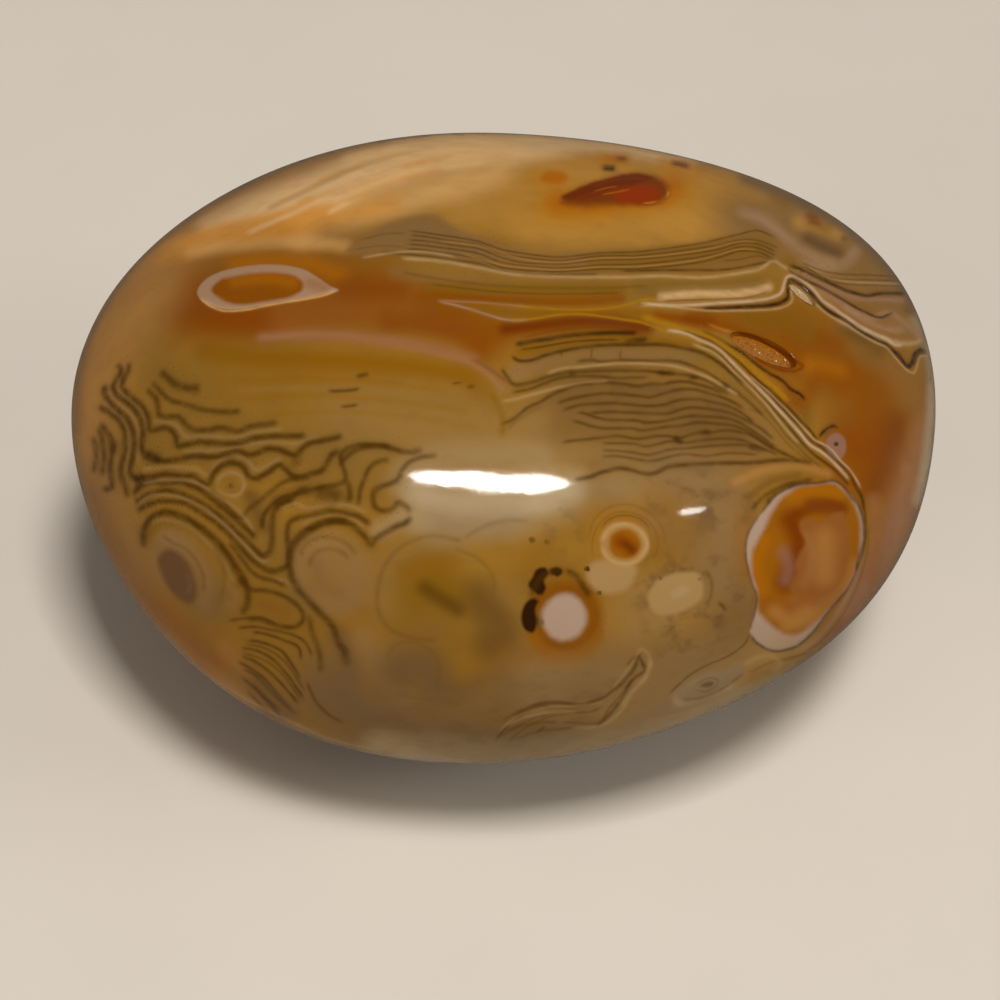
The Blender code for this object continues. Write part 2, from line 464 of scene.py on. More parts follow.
    ("rose", 12, 0.8, "874,500 878,540 870,578"),
    ("pale rose", 12, 0.6, "908,470 904,520 890,570"),
    ("warm tan", 8, 0.6, "735,482 765,470 800,466 828,474"),
    ("brown", 7, 0.6, "750,496 770,482 798,475"),
)

# Smoky flecks: radius, strength, path
FLECKS = (
    (50, 1.0, "670,490 700,500 725,510"),
    (36, 1.0, "640,572 650,590 690,565 712,575"),
    (46, 1.0, "670,632 705,625 735,600"),
    (30, 0.6, "560,520 570,545"),
    (60, 0.6, "620,390 680,400 720,420"),
    (50, 0.5, "300,500 260,480 200,440"),
    (80, 0.4, "400,700 480,720 600,700"),
)

# Soft colours on the far side: colour, radius in millimetres, strength, centre in millimetres
FAR_GROUND = (
    ("pale honey", 40, 0.7, (0, 26, 20)),
    ("deep amber", 22, 0.9, (22, 20, 20)),
    ("olive cream", 22, 0.8, (-16, 18, 26)),
    ("amber", 18, 0.8, (-30, -6, 14)),
    ("grey", 20, 0.8, (6, -10, 0)),
    ("burnt red", 14, 0.7, (31, 2, 20)),
    ("tan", 16, 0.7, (4, 25, 12)),
    ("deep honey", 16, 0.7, (-24, 16, 8)),
    ("smoke", 14, 0.6, (12, 22, 4)),
)

# Eyes on the far side: layer, colour, softness, radius and centre in millimetres
FAR_EYES = (
    (0, "shell", 0.22, 4.6, (10, 24, 18)),
    (1, "amber", 0.22, 3.5, (10, 24, 18)),
    (2, "burnt red", 0.3, 1.6, (10.3, 24, 18)),
    (0, "cream", 0.22, 3.0, (-12, 23.5, 22)),
    (1, "orange", 0.22, 2.2, (-12, 23.5, 22)),
    (0, "milk", 0.25, 2.4, (-22, 16, 12)),
    (0, "white line", 0.22, 1.8, (1, 26, 9)),
    (0, "milk", 0.25, 3.2, (29, 9, 12)),
    (1, "rust", 0.25, 2.5, (29, 9, 12)),
)
FAR_STRETCH = np.array((1.0, 1.0, 1.35))  # the eyes are wider than high

# Rings on the far side: centre and radius in millimetres, and rings for each millimetre
FAR_RINGS = (
    ((10, 24, 18), 9.0, 0.9),
    ((-12, 23.5, 22), 8.0, 1.0),
    ((-22, 16, 12), 7.0, 1.1),
    ((1, 26, 9), 6.0, 1.2),
)

# Patches with a clear edge: layer, colour, softness of the edge, outline
PATCHES = (
    (0, "brown tan", 5.0,
     "345,252 362,240 380,228 400,220 420,215 438,216 448,223 460,231 480,237 500,244 540,254 "
     "600,251 640,249 700,242 740,233 758,229 778,237 785,256 768,262 740,268 700,272 600,274 "
     "520,274 460,262 400,254 345,252"),
    (0, "shell", 1.4,
     "197,292 205,280 220,272 240,267 265,264.5 290,266 305,270 320,279 332,287 340,290 325,294 "
     "300,299.5 280,302 260,306 240,309 225,309.5 210,305 200,299 197,292"),
    (1, "amber", 2.8,
     "211,290 220,280 240,275 260,272.5 280,273 295,276 303,283 302,290 290,297 270,301 250,304 "
     "235,304 222,300 211,290"),
    (0, "rosy white", 1.8,
     "760,515 768,504 775,496 783,491 792,486.5 800,484 818,483 833,481 846,490 858,505 863,520 "
     "864,540 858,560 855,575 848,588 833,606 818,626 808,637 797,646 785,650 775,651 765,648 "
     "755,641 750,632 751,625 756,606 757,598 751,580 748,568 746,557 746,545 748,534 753,524 "
     "760,515"),
    (1, "orange gold", 4.2,
     "782,498 772,512 766,525 760,537 753,550 751,562 752,575 757,590 757,604 758,611 766,620 "
     "776,629 787,635 800,633 812,625 824,614 836,602 846,589 855,572 860,552 861,532 859,516 "
     "853,502 845,491 833,483 815,484 798,487 782,498"),
    (2, "peach", 3.2,
     "800,530 800,522 808,518 820,522 828,517 835,513 843,512 847,525 849,545 846,565 840,582 "
     "830,592 818,598 810,595 800,596 791,591 792,582 797,573 795,565 799,555 805,542 800,530"),
    (0, "smoke", 4.4,
     "158,558 164,551 172,549.5 180,554 187,562 193,574 196,588 195,600 188,604 178,598 168,587 "
     "161,573 158,558"),
    (0, "ring cream", 2.4,
     "600,544 603,532 611,524 623,521.5 636,524 646,532 649.5,544 646,556 637,564 625,566.5 "
     "612,564 604,556 600,544"),
    (1, "orange gold", 3.4,
     "609,544 611,536 617,530.5 625,529 633,531 639,537 641,544 639,551 633,557 625,559 616,557 "
     "611,552 609,544"),
    (0, "rosy white", 4.6,
     "542,617 545,606 553,598 564,594 575,597 583,605 586.5,617 583,629 575,637 564,640.5 552,637 "
     "545,628 542,617"),
    (1, "dark umber", 2.4,
     "532,578 537,569 545,567 549,573 544,580 546,588 541,596 534,592 528,585 532,578"),
    (1, "dark umber", 2.4,
     "524,606 532,598 539,600 535,609 537,621 533,633 526,631 521,619 524,606"),
    (1, "dark umber", 2.2, "549,571 556,567 563,571 558,577 549,571"),
    (0, "blotch", 5.0,
     "586,574 592,564 602,560 614,562 626,560 636,568 634,580 624,590 608,594 594,588 586,574"),
    (0, "blotch", 3.6,
     "648,597 655,583 668,575 685,572 698,573 703,585 700,600 685,610 670,615 655,613 648,597"),
    (0, "core", 6.0,
     "562,203 562,198 572,191 586,185 604,179 624,174 645,173 660,178 668,186 668,194 662,201 "
     "650,205 630,205 604,205 582,206 562,203"),
    (1, "spot red", 4.4,
     "612,191 620,187 638,184 654,187 660,194 654,202 640,204 628,203 618,201 612,191"),
    (2, "spot brown", 2.6,
     "562,198 570,192 584,186 603,179.5 624,175 640,174 652,178 640,183 624,188 612,192 596,196 "
     "575,199 562,198"),
    (0, "spot orange", 4.0,
     "540,178 545,173 554,171.5 563,173 568,178 562,183 553,184 545,182.5 540,178"),
    (0, "pale grey", 4.0,
     "676,697 684,685 697,676 712,671 728,668 742,664 745,672 735,680 720,690 700,698 684,701 "
     "676,697"),
    (1, "grey", 2.4, "700,686 708,681.5 714,682 713,685.5 706,687.5 700,686"),
    (0, "rust", 1.8,
     "741,336 755,338 766,344 780,351 790,357 797,364 790,369 778,368 768,363 756,355 746,346 "
     "741,336"),
    (0, "lilac", 1.8, "826,447 828,438 834,433 842,435 846,443 845,453 838,461 830,460 826,447"),
)

# Soft shades inside the patches: layer, colour, radius, strength, path
SHADES = (
    (0, "grey tan", 40, 0.6, "360,235 440,232 470,245"),
    (0, "olive gold", 24, 0.6, "600,264 680,258 760,248"),
    (0, "rose", 10, 0.6, "310,283 325,288"),
    (0, "white line", 5, 0.5, "205,302 222,310 250,309 300,301 335,292"),
    (1, "bright amber", 12, 0.6, "235,281 270,278 292,282"),
    (1, "burnt red", 20, 0.9, "790,520 799,540 794,562 786,582"),
    (1, "burnt red", 11, 0.8, "797,514 815,507 832,504 842,508"),
    (1, "rose", 14, 0.6, "795,604 815,604 830,592"),
    (1, "warm tan", 12, 0.5, "786,628 806,622 826,604 844,584 854,564"),
    (1, "rose amber", 12, 0.6, "770,604 790,610 806,604"),
    (1, "lilac", 12, 0.6, "784,552 789,566 786,580"),
    (1, "rust", 14, 0.8, "812,504 826,508 838,510"),
    (2, "rose", 9, 0.6, "806,536 812,560 804,584"),
    (1, "core", 13, 1.0, "621,542 628,546 632,550"),
    (1, "umber", 6, 0.5, "626,544 632,550"),
    (1, "bright amber", 12, 0.5, "764,540 756,562 762,590"),
    (1, "bright amber", 10, 0.5, "790,495 820,490 840,494"),
    (1, "warm tan", 14, 0.6, "775,612 790,620 806,612"),
    (1, "peach", 12, 0.5, "846,560 836,588 822,602"),
    (2, "warm tan", 22, 0.5, "825,540 825,575"),
    (0, "pale line", 14, 0.4, "770,640 790,642"),
    (0, "milk", 8, 0.5, "676,594 684,590"),
)

# Dots: layer, colour, softness, radius, place
DOTS = (
    (1, "umber", 1.2, 3.2, (587, 569)),
    (1, "umber", 1.2, 2.6, (599, 593)),
    (1, "brown", 1.5, 3.4, (532, 540)),
    (1, "brown", 2.0, 2.6, (547, 542)),
    (1, "brown", 1.5, 2.2, (661, 578)),
    (1, "brown", 1.5, 2.2, (700, 579)),
    (1, "brown", 1.8, 2.8, (231, 486)),
    (1, "umber", 1.6, 2.4, (836, 444)),
    (1, "grey", 2.4, 4.0, (540, 622)),
    (1, "brown", 1.5, 2.6, (792, 502)),
    (1, "brown", 1.5, 2.2, (788, 509)),
)

# Single lines: colour, half width, strength, path
LINES = (
    # fine dark threads over the top, from the brown hill to the peak at the right
    ("umber", 1.0, 0.6,
     "408,231 420,232 440,235 460,238 480,242 500,249 520,253 560,257 600,253 640,251.5 700,243.5 "
     "720,239 740,234 758,230.5 776,238"),
    ("umber", 1.0, 0.6,
     "408,235 420,236 440,239 460,242 480,245 500,253 520,257 560,260.5 600,256 640,255.5 700,248 "
     "720,245 740,240 758,240.5 780,249"),
    ("umber", 1.0, 0.6,
     "406,240 420,240.5 440,243 460,246 480,249 500,257 520,262 560,264 600,260 640,259 700,252.5 "
     "720,249 740,243 758,244 778,253"),
    ("umber", 1.0, 0.6,
     "406,244 420,245 440,247.5 460,250 480,254 500,262 520,265.5 560,268 600,265 640,264 700,257 "
     "720,253 740,247 758,248 778,257"),
    ("umber", 1.1, 0.65,
     "404,249 420,249.5 440,252.5 460,255 480,259 500,267 520,270 560,271.5 600,269 640,268.5 "
     "700,262 720,257 740,251 758,252 776,260"),
    ("umber", 1.6, 0.7,
     "380,252 404,254 420,255.5 440,258 460,261 480,264 500,271 530,275 600,274"),
    ("umber", 1.4, 0.7, "620,271 640,270.5 700,270 720,270 740,267.5 758,264 768,262 785,264"),
    ("umber", 0.9, 0.4, "720,261 740,259.5 758,256 776,262"),
    ("brown", 1.0, 0.5, "360,240 385,234 408,233"),
    ("brown", 1.0, 0.4, "350,250 380,246 406,247"),
    ("warm tan", 0.9, 0.5,
     "440,241 480,246 520,258.5 560,262.3 600,258.2 640,257.3 700,250.5 740,241.5 758,242"),
    ("warm tan", 0.9, 0.5,
     "460,253 500,264.5 530,268 560,269.8 600,267 640,266.5 700,259.5 740,249 758,250"),
    ("pale line", 1.3, 0.6, "360,258 400,252 430,252.5 457,257"),
    ("pale line", 1.8, 0.8,
     "400,258 440,261 480,268 520,275 620,277 660,276 700,277.5 720,276 740,273 760,269 773,261 "
     "785,268 800,277"),
    ("dark umber", 2.0, 0.85,
     "787,264 800,269 815,276.5 830,283 845,290 860,294.5 868,296 880,293.5 908,293.5"),
    ("umber", 0.9, 0.5, "800,262 820,270 840,274 870,275 900,277"),
    ("umber", 0.9, 0.5, "800,265 820,274 840,279 870,280 904,281"),
    ("umber", 0.9, 0.5, "806,267 826,279 846,284 876,285 906,286"),
    ("dark umber", 1.5, 0.8,
     "785,268 800,277 820,287 840,298 850,304 865,312 880,317.5 890,314 895,312"),
    ("lilac", 1.8, 0.5, "800,273 830,291 850,299 880,301 908,302"),
    ("brown", 1.6, 0.5, "400,272 460,282 520,287 600,288 650,286"),
    ("umber", 1.2, 0.4, "430,284 500,292 560,294 620,293"),
    ("orange brown", 2.4, 0.6, "430,294 500,300 560,303 610,302"),
    ("gold", 2.8, 0.35, "230,382 300,378 380,382 450,392"),
    ("gold", 2.8, 0.35, "240,398 320,396 400,402 470,412"),
    ("pale honey", 3.0, 0.35, "235,390 310,388 390,392 460,402"),
    ("gold", 3.0, 0.3, "260,415 340,412 420,418 480,428"),
    ("shell", 3.2, 0.5, "816,287 835,299 855,312 872,318 888,313 900,319 915,332 925,342"),
    ("shell", 2.2, 0.45, "800,270 830,287 855,297 880,299 908,300"),
    ("pale line", 1.4, 0.5, "806,265 826,276 846,281 876,283 906,284"),
    ("white line", 2.6, 0.5, "835,318 852,326 868,333 884,339 900,343 914,343 926,338"),
    ("shell", 3.0, 0.5, "842,304 858,316 876,326 892,330 906,330"),
    ("brown", 3.4, 0.5, "900,306 910,312 916,320"),
    ("dark umber", 1.8, 0.6, "888,350 900,360 909,367 915,362 920,353 930,354"),
    # the ribbon that folds into a loop at the right
    ("dark umber", 2.2, 0.95,
     "700,308.5 720,308 740,307 760,306 772,305 782,302 788,297 788,288 788,281 790,279 795,281 "
     "803,286 811,293 817,300 823,307 832,313 845,320.5 860,331 872,337.5 884,343.5 891,349 "
     "897,354 903,361 908,367 912,362 915,354 920,350 928,353"),
    ("white line", 1.6, 0.85,
     "640,303 660,305 680,305.5 700,304.5 720,303 740,302 760,300 772,297.5 781,293 784,285 "
     "787,277 791,275 797,277 806,283 814,290 822,300 832,307 845,316 860,326 875,334 887,339 "
     "896,345 905,345"),
    ("pale line", 1.2, 0.7,
     "640,307 650,305 670,306.5 700,310 720,311 740,310.5 760,310 775,309 786,306 792,301 791,290 "
     "793,285 799,288 808,296 814,302 820,308 830,316 845,324 862,335 875,342 886,347 893,355 "
     "900,363 908,371 914,373 917,366 920,357 926,356 931,358"),
    ("cream", 4.0, 0.6, "655,297 680,295 700,294 730,294 755,291 775,285"),
    ("brown", 1.0, 0.6, "660,301.5 690,300 720,299 750,297 770,291"),
    # the seam from the left to the lens
    ("pale rose", 1.2, 0.7, "437,300 450,301 480,302.5 510,305 530,307"),
    ("yellow", 1.3, 0.8,
     "515,305.5 540,308 570,309.5 600,309 620,306.5 635,302.5 645,299.5 660,299"),
    ("shell", 1.3, 0.7, "437,301 455,305 470,309 485,314 500,318.5 515,320.5 530,319"),
    ("yellow", 1.4, 0.8,
     "508,320 520,320 535,318.5 555,315 580,314 600,316 620,319 640,322 655,327 670,333"),
    ("peach cream", 1.1, 0.7,
     "199,297 207,304 222,310.5 240,310.5 260,307 280,303 300,300 325,295 338,290"),
    ("umber", 0.9, 0.5, "562,350 561,358"),
    ("umber", 0.9, 0.5, "592,347 591,360"),
    ("umber", 0.9, 0.5, "622,348 620,358 628,361"),
    ("rust", 1.2, 0.5, "520,338 560,330 600,327 640,330"),
    ("dark umber", 2.6, 0.85, "513,345 530,342 550,338.5 570,335.5 600,333 640,333"),
    ("dark umber", 3.0, 0.6, "622,343 636,340 650,338"),
    ("umber", 1.2, 0.7, "518,350 540,347 570,342 600,340 620,340"),
    # the yellow band and what runs beside it
    ("yellow", 3.4, 0.9,
     "640,316 650,319 660,322 670,325 680,328.5 690,331.5 700,334.5 710,338 720,343 730,351 "
     "740,359 750,367 760,375 770,384 780,393 790,404"),
    ("dark umber", 1.9, 0.9,
     "700,331 712,336 720,340 730,346 740,351 750,359 760,367 770,374 778,378 785,383 792,390 "
     "800,394 806,402"),
    ("orange", 1.6, 0.3, "706,323 718,328 728,331 735,332"),
    ("burnt red", 1.7, 0.9,
     "736,331 744,334 755,336 765,343 780,350 790,356 797,362 803,366 798,370 785,371 770,366 "
     "755,357 745,345 736,333"),
    # the dark and pale threads that sweep down to the big eye
    ("umber", 1.5, 0.85,
     "680,330 700,337 710,341 720,347.5 730,355 740,363 750,373 760,382 770,390 780,399.5 790,409 "
     "800,420 810,430 815,437 820,441"),
    ("white line", 1.0, 0.6,
     "750,376 770,394 780,404 790,414 800,424.5 810,435 815,440 825,445 832,450 840,460 850,470 "
     "856,479 862,490"),
    ("umber", 1.7, 0.85,
     "750,378 760,387 770,396 780,406 790,416.5 800,428 810,440 820,446.5 830,455 840,465 850,476 "
     "856,487 862,498 864,512"),
    ("white line", 1.5, 0.75,
     "665,330 680,332 690,335 700,340 710,344 720,350 730,360 740,370 750,380 760,389.5 770,400 "
     "780,411 790,422 800,433 810,445 820,451 830,459 840,469 850,481"),
    ("umber", 1.7, 0.8,
     "700,344 710,348 720,355 730,365 740,375.5 750,385 760,395 770,405 780,416 790,428 800,440 "
     "808,449 817,457 826,463 835,470 842,477 850,487"),
    ("pale line", 1.3, 0.6,
     "690,343 700,347 710,350.5 720,357.5 730,367.5 745,382 765,403 785,428 800,445"),
    ("brown", 1.3, 0.7, "720,360 740,383 760,403 778,424 786,435 800,449 808,457 816,463 823,469"),
    ("brown", 1.0, 0.5, "745,409 758,412 770,423 790,446 812,464"),
    # the finely lined field in the middle
    ("umber", 2.1, 0.84,
     "510,354 517,360 524,361 532,360 545,355.5 560,351.5 575,348.5 590,346.5 610,345 640,344.5 "
     "655,344.5 670,345.5 685,348.5 700,352 715,360 730,372 745,386"),
    ("umber", 1.8, 0.73,
     "575,362 590,360 600,361.5 620,360.5 655,361 670,360.5 680,362 690,365 700,369 710,374 "
     "720,381 735,391 750,403 765,417"),
    ("pale line", 1.6, 0.57,
     "545,374 560,369 580,367 600,365 620,363.5 660,364.5 680,367.5 700,374 715,381 725,387 "
     "740,396"),
    ("umber", 2.0, 0.73,
     "500,366 507,377 513,384 522,384 535,381 550,376 565,373 590,371 640,371 665,373 690,375.5 "
     "700,378 712,383 730,395"),
    ("umber", 1.8, 0.68, "510,393 520,391 530,389 543,384 560,378 590,376 620,378 650,377"),
    ("pale line", 1.8, 0.47, "500,402 515,399 530,395 545,391 560,387 580,384 610,381"),
    ("umber", 2.0, 0.73,
     "500,424 510,421 520,414 527,408 540,402 550,396 563,390 575,386 610,383 625,384 637,386 "
     "651,384 665,384 670,382.5 685,381.5 697,384 710,388 725,394"),
    ("umber", 1.8, 0.68,
     "555,404 570,399 585,396 605,393.5 640,396 652,397 665,393 680,389.5 695,389.5 708,393 "
     "722,397.5 735,403 745,410"),
    ("umber", 1.8, 0.68,
     "560,411 580,405 600,403.5 620,403.5 645,406 662,405 672,402 683,399.5 700,399.5 712,402 "
     "725,405 740,412 755,424"),
    ("umber", 1.8, 0.63,
     "587,413 610,412 640,413 668,413.5 680,409.5 690,407.5 700,408 712,409.5 722,411 735,415 "
     "745,420 760,428 775,440"),
    ("umber", 1.8, 0.68,
     "575,413 583,413 592,416 602,419 612,420 637,420.5 645,422.5 665,421 675,419 690,416 "
     "708,416.5 730,419 742,424 760,436 778,449"),
    ("umber", 1.8, 0.63,
     "570,420 578,422 600,428 632,428.5 642,430.5 665,427 685,425 695,422.5 715,423.5 730,425 "
     "745,430 765,443 790,456"),
    ("umber", 1.8, 0.63,
     "560,443 575,440.5 590,439 602,437.5 618,436 637,439 655,436 668,436 680,438 692,434 702,432 "
     "712,432.5 722,430.5 735,431 750,435 775,450 800,460"),
    ("umber", 1.6, 0.57,
     "600,443 635,444 645,446.5 660,443.5 672,441 685,443 697,441 725,438.5 745,441 770,453"),
    ("umber", 1.6, 0.57,
     "600,450 630,452 648,455 657,453 670,449.5 685,448.5 710,446 755,446 780,456"),
    ("umber", 1.6, 0.52,
     "600,457 615,456 630,458 648,461 660,459.5 672,456 685,454 705,456 730,453 760,455"),
    ("umber", 2.5, 0.78,
     "572,481 580,479 590,477 600,473 612,469.5 620,468.5 632,470 642,473 652,474 658,472 665,468 "
     "675,466 690,464.5 720,463 750,463 760,462 780,460 800,461 815,464"),
    ("dark umber", 2.5, 0.84, "567,373 577,373"),
    ("dark umber", 2.6, 0.84, "655,373 677,373"),
    ("dark umber", 2.6, 0.73, "687,377 700,377"),
    ("dark umber", 2.9, 0.73, "722,383 730,389"),
    ("dark umber", 3.0, 0.73, "672,436 678,440 684,443"),
    ("dark umber", 2.6, 0.63, "700,432 712,432"),
    ("dark umber", 2.6, 0.63, "745,445 765,452"),
    ("brown", 2.2, 0.5, "470,358 485,366 504,379 516,386 539,381 570,372 600,369 640,368"),
    ("brown", 2.4, 0.4, "505,431 515,422 530,412 545,405"),
    ("dark umber", 2.2, 0.6, "632,339 640,341 648,339"),
    # the rosy line that dips between the two fields
    ("rose", 3.5, 0.7, "290,340 340,338 380,341 420,347 450,353 470,360 485,368 500,378 510,388"),
    ("olive gold", 3.4, 0.7, "490,390 496,402 501,412 503,428 500,440"),
    # short dashes in the honey field
    ("umber", 2.0, 0.75, "326,391 340,391 352,390 362,388"),
    ("umber", 2.4, 0.7, "354,377 364,375 371,374"),
    ("umber", 1.8, 0.7, "338,407 350,406 361,404"),
    ("umber", 2.2, 0.6, "466,387 476,386"),
    ("umber", 1.4, 0.6, "450,384 464,382"),
    # pale lines between the threads of the lace at the left
    ("blotch", 2.0, 0.45,
     "112,372 110,384 109,391 114,399 124,408 132,415 137,425 138.5,438 138,452 137,465"),
    ("blotch", 2.0, 0.45,
     "121,361 125,369 120,379 117.5,387 122,394 131,401 138,408 143,416 146,426 146,436"),
    ("blotch", 2.0, 0.4, "103,398 114,411 122,418 128,430 129.5,446 128,460 126,474"),
    ("blotch", 2.2, 0.4, "150,421 175,424 185,436 205,436 235,437 255,432 285,429"),
    ("blotch", 2.2, 0.4, "180,451 215,450 245,445 268,442 300,443 320,435"),
    ("blotch", 2.2, 0.45,
     "140,470 165,467 195,469 208,475 218,462 232,455 246,459 256,470 270,464 284,456"),
    ("blotch", 2.2, 0.4, "282,512 292,503 308,508 330,504 350,506 368,514"),
    ("blotch", 2.0, 0.4, "300,527 315,518 335,515 353,519 366,530"),
    ("blotch", 2.4, 0.4, "150,523 162,520 178,522 195,531 212,547 226,566 236,585"),
    ("blotch", 2.2, 0.35, "270,578 290,583 300,594 308,604"),
    # lace at the left
    ("umber", 3.3, 0.73, "90,435 95,443 96,455 95,467 91,475"),
    ("umber", 3.3, 0.79, "98,425 102,440 104,455 103,468 102,478"),
    ("umber", 3.5, 0.84,
     "100,420 105,430 110,437 113,446 112,455 110,468 112,480 112,487 105,489 100,487"),
    ("umber", 5.2, 0.67, "111,438 113,446 112,456"),
    ("umber", 3.5, 0.84,
     "96,405 108,412 118,420 124,430 125,450 123,460 121,468 122,478 126,490 128,500"),
    ("umber", 3.5, 0.89,
     "109,383 104,391 110,402 120,412 128,420 133,432 134,445 133,455 130,473 135,478 150,477 "
     "165,474.5 180,476 195,477 203,483 208,484 213,474 221,466 231,463 242,466 250,477 258,478 "
     "268,472 280,465 290,474 300,478 312,474 322,470 327,463 333,454 342,449"),
    ("dark umber", 6.6, 0.67, "132,480 139,480 147,477"),
    ("umber", 3.5, 0.89,
     "115,362 121,370 116,380 113,388 118,396 127,403 135,410 140,418 143,430 142,450 146,455 "
     "155,459 165,461 180,459 195,456 215,457 238,452 250,455 268,449 280,450 296,455 303,448 "
     "310,443 322,441 345,435"),
    ("dark umber", 6.2, 0.62, "142,453 152,457 164,460"),
    ("umber", 6.2, 0.56, "289,459 296,463 300,467"),
    ("umber", 3.3, 0.84,
     "127,360 129,368 124,378 122,386 127,393 135,400 142,406 147,414 149,423 150,430 165,428 "
     "172,431 176,438 177,446 185,445 200,442 220,444 240,443 255,438 280,436 300,436 308,434"),
    ("umber", 3.3, 0.79,
     "146,386 150,392 157,400 158,410 160,416 178,417 185,424 193,429 205,430 222,428 238,431 "
     "250,427 280,422"),
    ("umber", 3.2, 0.73, "150,380 155,385 163,394 170,400 185,404 200,409 230,412 244,411"),
    ("umber", 4.6, 0.79, "158,369 168,378 177,385 190,388 203,388"),
    ("umber", 3.5, 0.89,
     "131,497 140,487 150,482 163,483 180,482 195,487 210,497 222,507 235,518 248,530 258,540"),
    ("umber", 3.5, 0.89,
     "133,505 140,500 150,494 165,491 180,493 195,500 208,508 220,517 235,530 247,541 256,551 "
     "264,556 270,550 272,540 272,530 275,508 281,503 295,498"),
    ("umber", 3.5, 0.84,
     "137,515 142,508 155,502 167,501 182,502 195,508 208,517 222,528 235,540 245,552 255,562 "
     "265,569 275,571 288,565 289,552 293,543 300,535 310,528 323,523 337,521 350,524 358,530 "
     "365,537 371,545 375,540 385,533 395,527 405,523 414,515"),
    ("umber", 3.8, 0.91,
     "144,550 144,530 151,518 166,512 182,516 197,525 212,536 226,552 237,569 245,582 248,596 "
     "246,608 238,614"),
    ("umber", 2.8, 0.79,
     "238,575 243,583 250,590 262,590 275,593 287,598 297,605 303,613 303,620 297,626 285,627 "
     "270,623 258,619 245,620"),
    ("umber", 3.2, 0.79, "341,470 342,462 348,455 358,449 372,446 385,447 397,450 410,452 425,450"),
    ("umber", 3.2, 0.79, "344,478 349,486 350,495 348,505"),
    ("umber", 2.8, 0.73, "357,508 359,500 360,490 365,478 368,470 372,465 380,461 392,460"),
    ("umber", 3.2, 0.79,
     "402,470 397,480 387,485 380,487 374,492 373,500 376,508 384,511 392,509 398,503 407,507 "
     "411,515"),
    ("umber", 2.8, 0.67, "397,474 402,470 408,463 418,458 440,455"),
    ("dark umber", 8.2, 0.51, "314,489 324,494 334,497 342,501"),
    ("umber", 2.8, 0.67, "275,514 280,504 290,500 300,490 312,487"),
    ("umber", 3.3, 0.79,
     "289,552 287,535 289,524 295,519 310,515 330,511 345,513 358,516 367,522 373,526"),
    ("umber", 3.9, 0.84,
     "350,521 333,521 317,526 303,536 292,549 289.5,566 295,585 309,602 322,615 333,627 339,643 "
     "350,657"),
    ("umber", 3.2, 0.62, "308,612 310,622 312,632 317,645 320,658 321,675"),
    ("umber", 4.6, 0.56, "340,650 346,660 350,668"),
    ("brown", 2.5, 0.49, "300,560 303,548 312,540 325,537 340,540 350,547 357,557"),
    ("brown", 2.5, 0.45, "310,570 311,559 319,551 331,549 343,553 350,562"),
    ("umber", 2.8, 0.83, "262,532 264,515 280,499 300,493 319,488 345,480 341,454 358,445 393,447"),
    ("umber", 2.7, 0.68, "228,541 240,556 252,572 262,578 275,581 288,588"),
    ("umber", 2.8, 0.64, "206,488 223,501 240,518 250,508 262,499 284,482 310,474"),
    ("blotch", 2.1, 0.56, "216,487 221,476 231,472 241,476 244,486 238,495 226,495 216,487"),
    ("blotch", 1.8, 0.39, "140,484 165,480 195,482 215,494 240,512 255,533"),
    ("blotch", 1.8, 0.39, "136,506 150,496 175,496 200,506 225,525 245,545 262,561 272,560"),
    ("brown", 2.0, 0.45, "160,533 170,541 184,548 196,560 203,576 204,594"),
    ("brown", 2.2, 0.4, "212,545 222,562 224,584 220,604"),
    ("grey", 2.4, 0.5, "186,571 190,586 186,596"),
    ("umber", 1.8, 0.57, "226,621 248,618 262,618 278,625"),
    # curved lines at the lower left
    ("umber", 1.8, 0.69, "236,628 255,627 272,630 290,634 303,640 309,648 312,658"),
    ("umber", 1.8, 0.69, "236,661 248,667 262,677 275,691 286,704 296,716"),
    ("umber", 1.6, 0.63, "240,676 252,686 266,700 278,714 286,722"),
    ("umber", 1.6, 0.57, "246,690 256,700 266,711 276,720"),
    ("umber", 1.8, 0.57, "306,680 315,700 328,714 345,724"),
    # pale line along the lower left edge: painted reflection of the floor
    ("pale line", 2.0, 0.4, "125,595 145,622 172,650 210,678 251,702 290,722 329,739 381,752"),
    ("umber", 1.8, 0.71, "250,632 262,633 275,637 288,642 296,645 300,650 301,662"),
    ("umber", 1.8, 0.71, "245,640 260,642 272,646 283,652 290,662 297,673 302,682"),
    ("umber", 1.8, 0.71, "240,648 255,650 268,656 278,664 288,676 298,690 305,700"),
    ("umber", 1.8, 0.71, "240,655 252,660 265,668 277,679 287,690 300,705"),
    ("umber", 1.8, 0.66, "242,668 255,675 268,688 280,700 290,710"),
    ("umber", 1.8, 0.6, "250,682 260,692 270,702 282,712"),
    ("umber", 1.3, 0.5, "243,644 258,646 271,651 281,658 290,668 299,682 306,692"),
    ("umber", 1.3, 0.5, "240,652 254,656 268,662 279,671 290,684 302,702"),
    ("grey", 3.0, 0.5, "256,676 272,690 290,708 304,720"),
    # round the big eye
    ("dark umber", 1.6, 0.64,
     "760,515 768,504 775,496 783,491 792,486.5 800,484 818,483 833,481 840,484 846,490 852,498 "
     "858,505 861,512 863,520 864,540 862,548 858,560 855,575 848,588 840,598 833,606 825,616 "
     "818,626 808,637 797,646 785,650 775,651 765,648 755,641 750,632"),
    ("dark umber", 2.9, 0.52, "764,506 776,492 792,485 812,482"),
    ("umber", 1.4, 0.64,
     "760,515 753,524 748,534 746,545 746,557 748,568 751,580 757,598 756,606 754,615 751,625 "
     "750,632"),
    ("umber", 1.0, 0.52, "750,632 746,642 740,648 730,655 720,660 705,666 690,675 675,688 668,695"),
    ("brown", 1.0, 0.45, "780,662 800,655 820,642 838,622 852,598 862,572 868,545 868,525"),
    ("brown", 1.0, 0.38, "747,674 769,663 792,657 815,652"),
